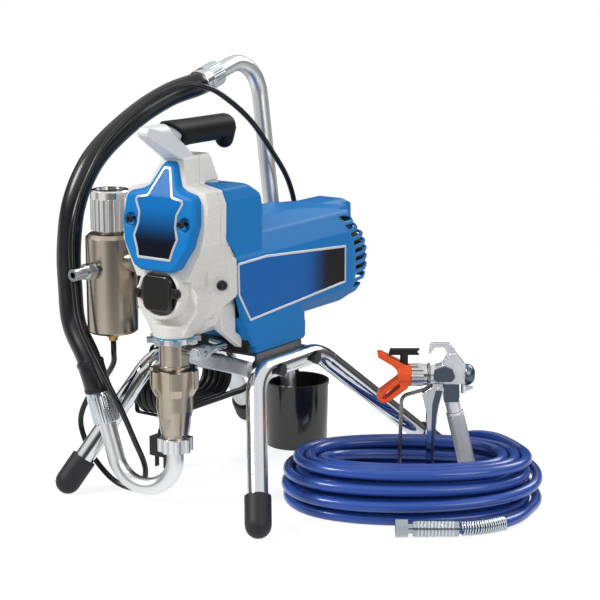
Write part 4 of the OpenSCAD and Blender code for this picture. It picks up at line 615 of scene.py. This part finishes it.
hank = [np.array(hank_point(k / HANK_STEPS)) for k in range(int(HANK_LAST * HANK_STEPS) + 1)]
hank_in, hank_out = hank[0] + [0, LEAD_D + 2, 0], hank[-1] - [0, LEAD_D + 2, 0]
PLUG_Y, PLUG_TOP = 102.0, 48.0
lead_in = curve_through([[-38, 191, 177], [-38, 214, 177], [-40, 238, 165], [-44, 250, 140], [-48, 248, 114],
                         [-53, 232, 92], [-56.8, 206, 81], hank_in + [0, 12, 0], hank_in],
                        LEAD_STEPS)
lead_out = curve_through([hank_out, hank_out - [0, 3, 0], hank_out - [0, 8, 0], [hank_out[0], 130, 78.5],
                          [hank_out[0], 116, 73.5], [hank_out[0], 106, 65.5], [hank_out[0], PLUG_Y, 58],
                          [hank_out[0], PLUG_Y, 53], [hank_out[0], PLUG_Y, PLUG_TOP]],
                         LEAD_STEPS)
lead_line = lead_in + hank + lead_out
power_lead = round_line("power_lead", lead_line, LEAD_D, "cord_black",
                        nodes=["power_cord", "power_cord_hank"])

# ---------- suction set ----------

SUCTION_HOSE_D, CUFF_SLEEVE_D, CUFF_D, DRAIN_D = 27.0, 29.6, 30.0, 6.4
# The U tube under the pump: its plane's turn, its far leg's tilt, its bend and where that leg ends.
U_TURN, U_TILT, U_BEND_R, U_BEND_Z, U_LEG = math.radians(12), math.radians(15), 37.0, 57.0, 60.0


def u_point(s, z):
    """The place s away from the pump axis in the U tube's plane, at height z."""
    return np.array([-s * math.cos(U_TURN), -s * math.sin(U_TURN), z])


u_axis = unit(u_point(math.sin(U_TILT), math.cos(U_TILT)))
u_end = u_point(U_BEND_R * (1 + math.cos(U_TILT)) + U_LEG * math.sin(U_TILT),
                U_BEND_Z - U_BEND_R * math.sin(U_TILT) + U_LEG * math.cos(U_TILT))
cane_front, cane_corner = np.array([-94.0, 183, 449]), np.array([-96.0, 287, 476])
cane_u = unit(cane_corner - cane_front)
hose_route = [u_end + u_axis * 0.3, u_end + u_axis * 14, u_end + u_axis * 24, [-99.5, -18.5, 144],
              [-110, -15.5, 161], [-134.5, -8, 191], [-143, -3, 232], [-147, 1, 272], [-147, 10, 318],
              [-144, 30, 356], [-139, 58, 384], [-129, 105, 414], [-112, 140, 434], cane_front - cane_u * 20,
              cane_front - cane_u * 13.5, cane_front - cane_u * 7, cane_front - cane_u * 0.3]
suction_line = curve_through(hose_route, 10)
round_line("suction_line", suction_line, SUCTION_HOSE_D, "hose_rubber", nodes=["suction_hose"], sides=8)

cuff_flutes = 30, 0.45
low_cuff = [(-18, 9.9), (-18, 13.6), (-17, 14.6), (-15, CUFF_D / 2), (12, CUFF_D / 2), (14, 14.4), (16, 14.4),
            (18, 13.9), (18, 13.6)]
turned("lower_cuff", u_end, u_axis, low_cuff, "ferrule", nodes=["hose_ferrules"], sides=256,
       flutes=(*cuff_flutes, 3, 4))
sleeve_line = [p for p in suction_line if 17.5 < float((p - u_end) @ u_axis) < 50 and p[2] < 190]
round_line("cuff_sleeve", sleeve_line, CUFF_SLEEVE_D, "hose_rubber", nodes=["suction_hose"],
           sides=8)
turned("cuff_lip", sleeve_line[-1], unit(sleeve_line[-1] - sleeve_line[-3]),
       [(-2, 13), (-2, 15), (-1, 15.6), (2, 15.4), (3, 14.2), (3, 13)], "hose_rubber", nodes=["suction_hose"])
high_cuff = [(-24, 9.9), (-24, 13.9), (-23, CUFF_D / 2), (-3, CUFF_D / 2), (-2, 14.2), (2, 14.2), (3, 14.7),
             (11, 14.7), (12, 14.0), (12, 13.6)]
turned("upper_cuff", cane_front, -cane_u, high_cuff, "ferrule", nodes=["hose_ferrules"], sides=256,
       flutes=(*cuff_flutes, 2, 3))

drain_route = [[-88, 4, 175.7], [-88, 4, 163], [-96, 12, 146], [-118, 20, 122], [-138, 16, 99],
               [-148, 14, 72], [-138, 12, 46], [-122, 12, 26], [-99, 12, 10], [-76, 13, 5], [-58, 12, 12],
               [-48, 6, 36], [-50, -10, 72], [-57, -24, 110], [-80, -34, 160], [-103, -34, 200],
               [-114, -29, 240], [-121, -24, 278], [-124, -14, 314], [-127, 12, 352], [-121, 45, 394],
               [-106, 95, 430], [-90, 136, 446], [-77, 158, 444], [-69, 182, 433], [-62, 226, 402],
               [-56, 262, 362], [-54, 296, 320], [-56, 316, 270], [-56, 318, 200], [-51, 310, 120],
               [-48, 302, 60]]
round_line("drain_line", curve_through(drain_route, 8), DRAIN_D, "drain_plastic", nodes=["drain_tube"])

# ---------- labels ----------


def rounded(points, r, steps=5):
    """The closed outline with each corner rounded to radius r."""
    out, n = [], len(points)
    p = [np.asarray(q, float) for q in points]
    for i in range(n):
        u, v = unit(p[i - 1] - p[i]), unit(p[(i + 1) % n] - p[i])
        half = math.acos(max(-1, min(1, float(u @ v)))) / 2
        centre = p[i] + unit(u + v) * r / math.sin(half)
        a, b = p[i] + u * r / math.tan(half) - centre, p[i] + v * r / math.tan(half) - centre
        out += [centre + r * unit(a * (steps - k) + b * k) for k in range(steps + 1)]
    return out


def inset(points, d):
    """The closed outline moved inwards by d."""
    out, n = [], len(points)
    for i in range(n):
        u, v = unit(points[i] - points[i - 1]), unit(points[(i + 1) % n] - points[i])
        lu, lv = np.array([-u[1], u[0]]), np.array([-v[1], v[0]])
        m = unit(lu + lv)
        out.append(points[i] + m * d / float(m @ lu))
    return out


def lean(z):
    """How far the cover's face leans back at a height."""
    return np.interp(z, [250, 281, 303, 347, 383, 390], [0, 1, 4, 12, 27, 32])


def dip(z):
    """How far the cover's form sinks at a height, as it leans back."""
    return np.interp(z, [303, 347, 383, 390], [0, 2, 6.5, 8])


def filled(outline, step=3.0):
    """The closed outline with points no further apart than a step."""
    out = []
    for a, b in zip(outline, outline[1:] + outline[:1]):
        n = max(1, int(np.linalg.norm(b - a) / step))
        out += [a + (b - a) * k / n for k in range(n)]
    return out


def reach(outline, level, side):
    """The outline's furthest place across at a level, on one side."""
    found = []
    for a, b in zip(outline, outline[1:] + outline[:1]):
        if min(a[1], b[1]) <= level <= max(a[1], b[1]) and abs(b[1] - a[1]) > 1e-9:
            found.append(a[0] + (b[0] - a[0]) * (level - a[1]) / (b[1] - a[1]))
    return max(found) if side > 0 else min(found)


RIM_W, RIM_SLOPE, FIELD_LAP = 2.6, 0.35, 0.3
LIFT, FIELD_SHARE, EDGE_SHARE = 0.02, 0.6, 0.7  # the gap under a label, and heights as shares of the rim's


def label(name, outline, to_space, t, finish, rows=40):
    """A plain coloured field inside a raised rim t thick.

    to_space places (a, b, height) in the machine's frame, with a and b along the face.
    """
    inner = inset(outline, RIM_W)
    low, high = min(p[1] for p in inner) + 0.01, max(p[1] for p in inner) - 0.01
    rings = []
    for k in range(rows + 1):
        b = low + (high - low) * k / rows
        a0, a1 = reach(inner, b, -1) - FIELD_LAP, reach(inner, b, 1) + FIELD_LAP
        rings.append([to_space(a, b, h) for a, h in ((a0, LIFT), (a1, LIFT), (a1, t * FIELD_SHARE),
                                                     (a0, t * FIELD_SHARE))])
    mesh_piece(name + "_field", *loft(*rings), finish, nodes=["cover_labels"], slot="label")
    outline = filled(outline)
    n = len(outline)
    slope, shelf, inner = (inset(outline, d) for d in (RIM_SLOPE, RIM_W - RIM_SLOPE, RIM_W))
    tiers = [(outline, LIFT), (outline, t * EDGE_SHARE), (slope, t), (shelf, t), (inner, t * EDGE_SHARE),
             (inner, LIFT)]
    points = [to_space(p[0], p[1], h) for tier, h in tiers for p in tier]
    m = len(tiers)
    faces = [(k * n + i, k * n + (i + 1) % n, ((k + 1) % m) * n + (i + 1) % n, ((k + 1) % m) * n + i)
             for k in range(m) for i in range(n)]
    mesh_piece(name + "_rim", points, faces, "label_rim", nodes=["cover_labels"], slot="label", sharp=25)


COVER_FRONT_Y, SHROUD_SIDE_X = -32.1, 60
front_outline = mirrored([(22, 281), (25, 292), (30, 304), (26, 318), (26, 330), (32, 342), (31, 347),
                          (17, 350), (6, 379), (4, 383)])
label("front_label", rounded(front_outline, 1.8),
      lambda a, b, h: (a, COVER_FRONT_Y + float(lean(b)) - h, b - float(dip(b))), 0.9, "label_front")
side_outline = [(36, 238), (57, 206), (247, 217), (247, 261), (88, 274), (35, 273)]
label("side_label", rounded(side_outline, 2), lambda a, b, h: (SHROUD_SIDE_X + h, a, b), 0.8, "label_side",
      rows=80)

# ---------- moulded and cast pieces ----------

CASE_TOP_SHIFT = [350, 386], [0, 19]  # how far the case's top moves back, by height
CASE_TOP_WIDTH = [352, 384], [1, 0.6]  # and how narrow it gets
# The front takes a share of the cover's lean, which fades out over a depth up to the seam.
SEAM_Y, FADE_DEPTH, LEAN_SHARE = 12, 30, 0.76
# The rear casting's front face behind the wings: its heights, its width from the axis, and its slant.
WING_Z0, WING_Z1, WING_X0, WING_X1, WING_Y, WING_SLANT = 214, 296, 33, 61, 15, 0.667


def bend_cover(p):
    """Leans the cover back and draws its top in."""
    z = p[:, 2].copy()
    p[:, 1] += lean(z)
    p[:, 2] -= dip(z)
    p[:, 0] *= np.interp(z, [350, 388], [1.06, 0.85])
    return p


moulded("cover_skin", ["front_cover"], [], 0.9, 5, "blue_plastic", bend=bend_cover)

# The gear case: a deep shoulder, a narrower column round the rod door, and an oblique wing on each side.
shoulder = mirrored([(34.5, 258), (54, 297), (56, 338), (50, 352), (27, 357), (24, 383), (20, 386)])
column = mirrored([(22, 196), (29, 209), (40, 224), (41, 244), (34.5, 252), (34.5, 296)])
wing = [(50.4, 23.6, 288), (60.8, 30.6, 277), (61, 30.6, 238), (38.3, 15.5, 216), (38, 15.4, 240),
        (33.3, 12.3, 246), (33, 12, 262)]
front_forms = [along_y(shoulder, -18, 12.1), along_y(column, -11, 13),
               along_y(mirrored([(34.5, 257), (54, 296), (54, 308)]), 10, 31),
               along_y(mirrored([(24, 197), (36, 206), (40, 226), (40, 290)]), 10, 25),
               spun((0, 0, 194), (0, 0, 1), [(0, 1), (0, 22.5), (14, 23), (14, 1)], 96),
               spun((0, 0, 244), (0, 1, 0), [(-24, 24.6), (-24, 28), (-23, 29), (-8, 29), (-8, 24.6)], 96)]
for side in (-1, 1):
    front = [(side * x, y, z) for x, y, z in wing]
    back = [(side * (abs(x) - 5), y + 9, z) for x, y, z in front]
    front_forms.append(loft(front, back))


def bend_front(p):
    """Leans the casting's front like the cover, and its rear edge like the rear casting."""
    z, part = p[:, 2].copy(), np.clip((SEAM_Y - p[:, 1]) / FADE_DEPTH, 0, 1)
    p[:, 1] += LEAN_SHARE * lean(z) * part + np.interp(z, *CASE_TOP_SHIFT) * (1 - part)
    p[:, 0] *= np.interp(z, *CASE_TOP_WIDTH)
    return p


def bend_rear(p):
    """Clears the lower front of the rear casting away behind the wings, and moves its top back."""
    z, x = p[:, 2].copy(), np.abs(p[:, 0])
    wing_back = WING_Y + (np.clip(x, WING_X0, WING_X1) - WING_X0) * WING_SLANT
    hidden = (z < WING_Z1) & (z > WING_Z0) & (p[:, 1] < wing_back)
    p[:, 1] = np.where(hidden, wing_back, p[:, 1])
    p[:, 1] += np.interp(z, *CASE_TOP_SHIFT)
    p[:, 0] *= np.interp(z, *CASE_TOP_WIDTH)
    return p


moulded("front_casting", ["drive_housing"], front_forms, 0.7, 1, "cast_white", bend=bend_front,
        copies=[])
moulded("rear_casting", ["bearing_housing"], [], 1.0, 2, "cast_white", bend=bend_rear)

# A slanted arm carries the grip. The grip's front end is cut parallel to the arm.
GRIP_Z = 410
arm = [(s * x, y, z) for s in (-1, 1) for x, y, z in ((13, 1, 384), (12.5, 26, 384), (7, -46, 412),
                                                      (7, -47, 416), (6.5, -43, 420.5), (8, -40, 408))]
arm += [(11 * math.cos(math.tau * k / 24), y, 411 + 11 * math.sin(math.tau * k / 24)) for y in (-27, -12)
        for k in range(24)]
arm_core = spun((0, 0, GRIP_Z), (0, 1, 0), [(-20, 1), (-20, 10.5), (20, 9.5), (12, 1)])
moulded("arm_skin", ["handle_arm"], [hull(arm), arm_core], 0.8, 4, "arm_silver", copies=[])
round_grip = [(math.sin(math.tau * k / 48), math.cos(math.tau * k / 48)) for k in range(48)]
grip_front = [[(r * x, 5 - lag * z, GRIP_Z + r * z) for x, z in round_grip]
              for r, lag in ((12.8, 17.5), (14.6, 15))]
grip_front.append([(14 * x, 30, GRIP_Z + 14 * z) for x, z in round_grip])
moulded("grip_skin", ["handle_grip"], [loft(*grip_front)], 0.9, 8, "grip_rubber")

# The shroud and the control box under it are one moulding. Its rear end is a shallow dome.
SHROUD_REAR_Y, DOME_FROM_Y = 332, 200
RIDGE_HALF_W, RIDGE_EASE = 24, 6


def bend_shroud(p):
    """Draws the shroud's flat rear in, by height: less along the ridge than at the sides."""
    z, x, y = p[:, 2], np.abs(p[:, 0]), p[:, 1]
    sides = np.interp(z, [198, 202, 207, 212, 221, 243, 252, 264, 275, 285, 295, 305],
                      [298, 310, 321, 329, 333, 333, 330, 323, 308, 297, 287, 279])
    ridge = np.interp(z, [198, 207, 221, 243, 257, 275, 298, 304], [298, 321, 333, 333, 328, 315, 314, 304])
    beyond_ridge = np.clip((x - RIDGE_HALF_W) / RIDGE_EASE, 0, 1)
    back = ridge * (1 - beyond_ridge) + sides * beyond_ridge
    part = np.clip((y - DOME_FROM_Y) / (SHROUD_REAR_Y - DOME_FROM_Y), 0, 1.02)
    p[:, 1] = np.where(y > DOME_FROM_Y, y + (back - SHROUD_REAR_Y) * part, y)
    return p


skirt = along_x([(58, 187), (50, 204), (66, 213), (158, 206), (164, 196), (164, 170), (64, 176)], -56.5, 59.6)
moulded("shroud_skin", ["motor_shroud", "control_housing"], [skirt], 1.3, 4, "blue_plastic",
        bend=bend_shroud)
liner = mirrored([(18, 209), (34, 210), (47, 223), (48, 262), (37, 284), (18, 290)])
moulded("motor_liner", ["motor_shroud"], [along_y(liner, 252, 306)], 1.6, 2, "black_plastic",
        bend=bend_shroud, copies=[])
mesh_piece("front_panel", *along_x([(60, 169), (60, 204), (63, 207), (63, 169)], -55, 55), "black_plastic",
           nodes=["control_housing"], slot="blue_plastic")

# The rod door: a rounded square with a softened edge, and an ear with a boss at each side.
DOOR_Z, DOOR_HALF_W, DOOR_HALF_H = 244, 19, 19.5
door_corners = [(-DOOR_HALF_W, -DOOR_HALF_H), (DOOR_HALF_W, -DOOR_HALF_H), (DOOR_HALF_W, DOOR_HALF_H),
                (-DOOR_HALF_W, DOOR_HALF_H)]
door = [rounded([(x * k, DOOR_Z + z * k) for x, z in door_corners], 8 * k) for k in (0.9, 0.97, 1, 1)]
door_forms = [loft(*[[(p[0], y, p[1]) for p in ring] for ring, y in zip(door, (-29, -28.2, -27, -21.1))])]
for s in (-1, 1):
    ear_z = DOOR_Z + 2 * s
    door_forms += [spun((s * 25, -27.6, ear_z), (0, 1, 0),
                        [(0, 0.8), (0, 5), (0.8, 5.5), (3.4, 5.5), (3.4, 0.8)]),
                   hull([(s * x, y, ear_z + z)
                         for x in (15, 25) for y in (-27.2, -24.2) for z in (-5.4, 5.4)])]
moulded("door_skin", ["rod_door"], door_forms, 0.45, 2, "door_black", copies=[])

# The case screws sit on the cast wings. The rest of the fasteners keep their places.
SCREW_X, SCREW_Z, SCREW_BACK = 49, 250, 20.5
UPPER_SCREW_X, UPPER_SCREW_Z, UPPER_SCREW_BACK = 40.5, 347, 14
SCREW_REACH, SCREW_DEPTH = 9, 30  # what is this near a screw's axis and the case's middle moves with it


def bend_screws(p):
    """Moves the two upper and the two lower case screws back with the case's leaning front."""
    x, y, z = np.abs(p[:, 0]), p[:, 1], p[:, 2]
    near_front = np.abs(y) < SCREW_DEPTH
    lower = (np.hypot(x - SCREW_X, z - SCREW_Z) < SCREW_REACH) & near_front
    upper = (np.hypot(x - UPPER_SCREW_X, z - UPPER_SCREW_Z) < SCREW_REACH) & near_front
    p[:, 1] += np.where(lower, SCREW_BACK, 0) + np.where(upper, UPPER_SCREW_BACK, 0)
    return p


fasteners = bent(frame["nodes"]["screws_and_bolts"].data.copy(), bend_screws)
place_piece(bpy.data.objects.new("fasteners", fasteners), "screw_steel", STATIC, ["screws_and_bolts"])
seat_profile = [(-3, 6), (0.1, 6), (0.8, 8.6), (0.1, 9.6), (-3, 9.6)]
screw_profile = [(-3, 0.6), (0.4, 0.6), (0.4, 2.2), (1.4, 2.6), (1.4, 4.4), (0.7, 5.4), (-3, 5.4)]
for s in (-1, 1):
    seat, out_of_wing = (s * SCREW_X, 22.2, SCREW_Z), (s * 0.555, -0.832, 0)
    turned("screw_seat_%d" % (s > 0), seat, out_of_wing, seat_profile, "cast_white", nodes=["drive_housing"])
    turned("case_screw_%d" % (s > 0), seat, out_of_wing, screw_profile, "screw_steel",
           nodes=["screws_and_bolts"])

soften("prime_handle", 0.6, 4, "prime_skin")
soften("gun_body", 0.5, 4, "gun_skin")
soften("trigger", 0.5, 3, "trigger_skin")
soften("tip_guard", 0.5, 5, "tip_guard_skin")
soften("spray_tip", 0.45, 3, "tip_skin")
soften("rubber_feet", 0.9, 3, "feet_skin")

# ---------- gun ----------

# A knurled sleeve: two crossing sets of fine ridges on a tube.
HANDLE_LEAN, SLEEVE_LEN, SLEEVE_R, BORE_R = math.radians(14), 70.0, 9.0, 4.5
KNURL_FROM, KNURL_TO, KNURL_EASE, KNURL_ROOT, KNURL_DEPTH, PLAIN_STEP = 4, 66, 3, 0.6, 1.3, 0.4
AROUND, DOWN, STARTS = 180, 150, 22
neck = beside((48.8, 0, 101))
handle_axis = beside_way((math.sin(HANDLE_LEAN), 0, -math.cos(HANDLE_LEAN)))
across = unit(np.cross(handle_axis, (0, 0, 1)))
up = np.cross(handle_axis, across)


def on_sleeve(w, i, r):
    """The place w down the handle, at the i-th step round it and r out from its axis."""
    a = 2 * math.pi * i / AROUND
    return neck + handle_axis * w + (across * math.cos(a) + up * math.sin(a)) * r


def sleeve_r(w, i):
    """The sleeve's radius with its ridges, which ease in at both ends."""
    if not KNURL_FROM < w < KNURL_TO:
        return SLEEVE_R - PLAIN_STEP
    edge = min(1, w / KNURL_EASE, (SLEEVE_LEN - w) / KNURL_EASE)
    a, lead = 2 * math.pi * i / AROUND, w / SLEEVE_R
    ridge = 0.5 * (abs(math.sin((a + lead) * STARTS / 2)) + abs(math.sin((a - lead) * STARTS / 2)))
    return SLEEVE_R - KNURL_ROOT + KNURL_DEPTH * ridge * edge


points = [on_sleeve(w, i, sleeve_r(w, i)) for w in (SLEEVE_LEN * j / DOWN for j in range(DOWN + 1))
          for i in range(AROUND)]
points += [on_sleeve(w, i, BORE_R) for w in (0, SLEEVE_LEN) for i in range(AROUND)]
faces = [(j * AROUND + i, j * AROUND + k, (j + 1) * AROUND + k, (j + 1) * AROUND + i)
         for j in range(DOWN) for i, k in ((i, (i + 1) % AROUND) for i in range(AROUND))]
outer_first, outer_last = 0, DOWN * AROUND
bore_first, bore_last = (DOWN + 1) * AROUND, (DOWN + 2) * AROUND
for i in range(AROUND):
    k = (i + 1) % AROUND
    faces.append((outer_first + k, outer_first + i, bore_first + i, bore_first + k))
    faces.append((outer_last + i, outer_last + k, bore_last + k, bore_last + i))
    faces.append((bore_first + k, bore_first + i, bore_last + i, bore_last + k))
mesh_piece("knurled_sleeve", points, faces, "gun_grip", nodes=["gun_handle"], sharp=60)


def gun_plate(name, outline, y0, y1, node):
    """A dark flat piece of the gun's own (x, z) outline between two depths. It stands for the node too."""
    points, faces = along_y(outline, y0, y1)
    mesh_piece(name, [beside(p) for p in points], faces, "gun_dark", BODY[node], [node], SLOT[node])


NECK_MID, NECK_SWELL = np.array([44.5, 122]), 1.04
neck_outline = [tuple((np.array(p) - NECK_MID) * NECK_SWELL + NECK_MID)
                for p in ((36, 133), (36.8, 114), (52, 114), (53, 120), (52.5, 133))]
gun_plate("gun_neck", neck_outline, -8.6, 8.6, "gun_body")
gun_plate("gun_cheek", [(25, 150), (24.5, 140), (29, 137), (44, 137), (48, 142), (45, 151), (36, 154)],
          -11.2, 11.2, "gun_body")
cap_profile = [(0, 0.5), (0, 11.4), (1.2, 12), (5, 11.6), (8.5, 9.4), (10.6, 6), (11.3, 2.5), (11.4, 0.5)]
turned("gun_rear_cap", beside((59.2, 0, 142.8)), beside_way((1, 0, 0)), cap_profile, "gun_dark",
       BODY["gun_body"], ["gun_body"], SLOT["gun_body"])
# Thin dark plates over the rear half of the chrome trigger's two sides are painted shade: the darkness that
# falls on that half of its sides.
trigger_shade_outline = [(27, 127), (34.4, 127), (30.6, 112), (28.6, 100), (26.2, 72), (24.8, 45), (22.6, 45),
                (22.8, 72), (23, 100), (23.5, 112)]
for s in (-1, 1):
    gun_plate("trigger_shade_%d" % (s > 0), trigger_shade_outline, s * 9.6, s * 10.3, "trigger")
for name, finish, ring in (("handle_end", "gun_dark", [(61, 8.8), (61, 9.4), (68.5, 9.4), (69.6, 8.8)]),
                           ("handle_collar", "gun_metal", [(0.3, 8.4), (0.3, 9.7), (3.4, 9.7), (4, 8.4)])):
    turned(name, neck, handle_axis, ring, finish, BODY["gun_handle"], ["gun_handle"], SLOT["gun_handle"])
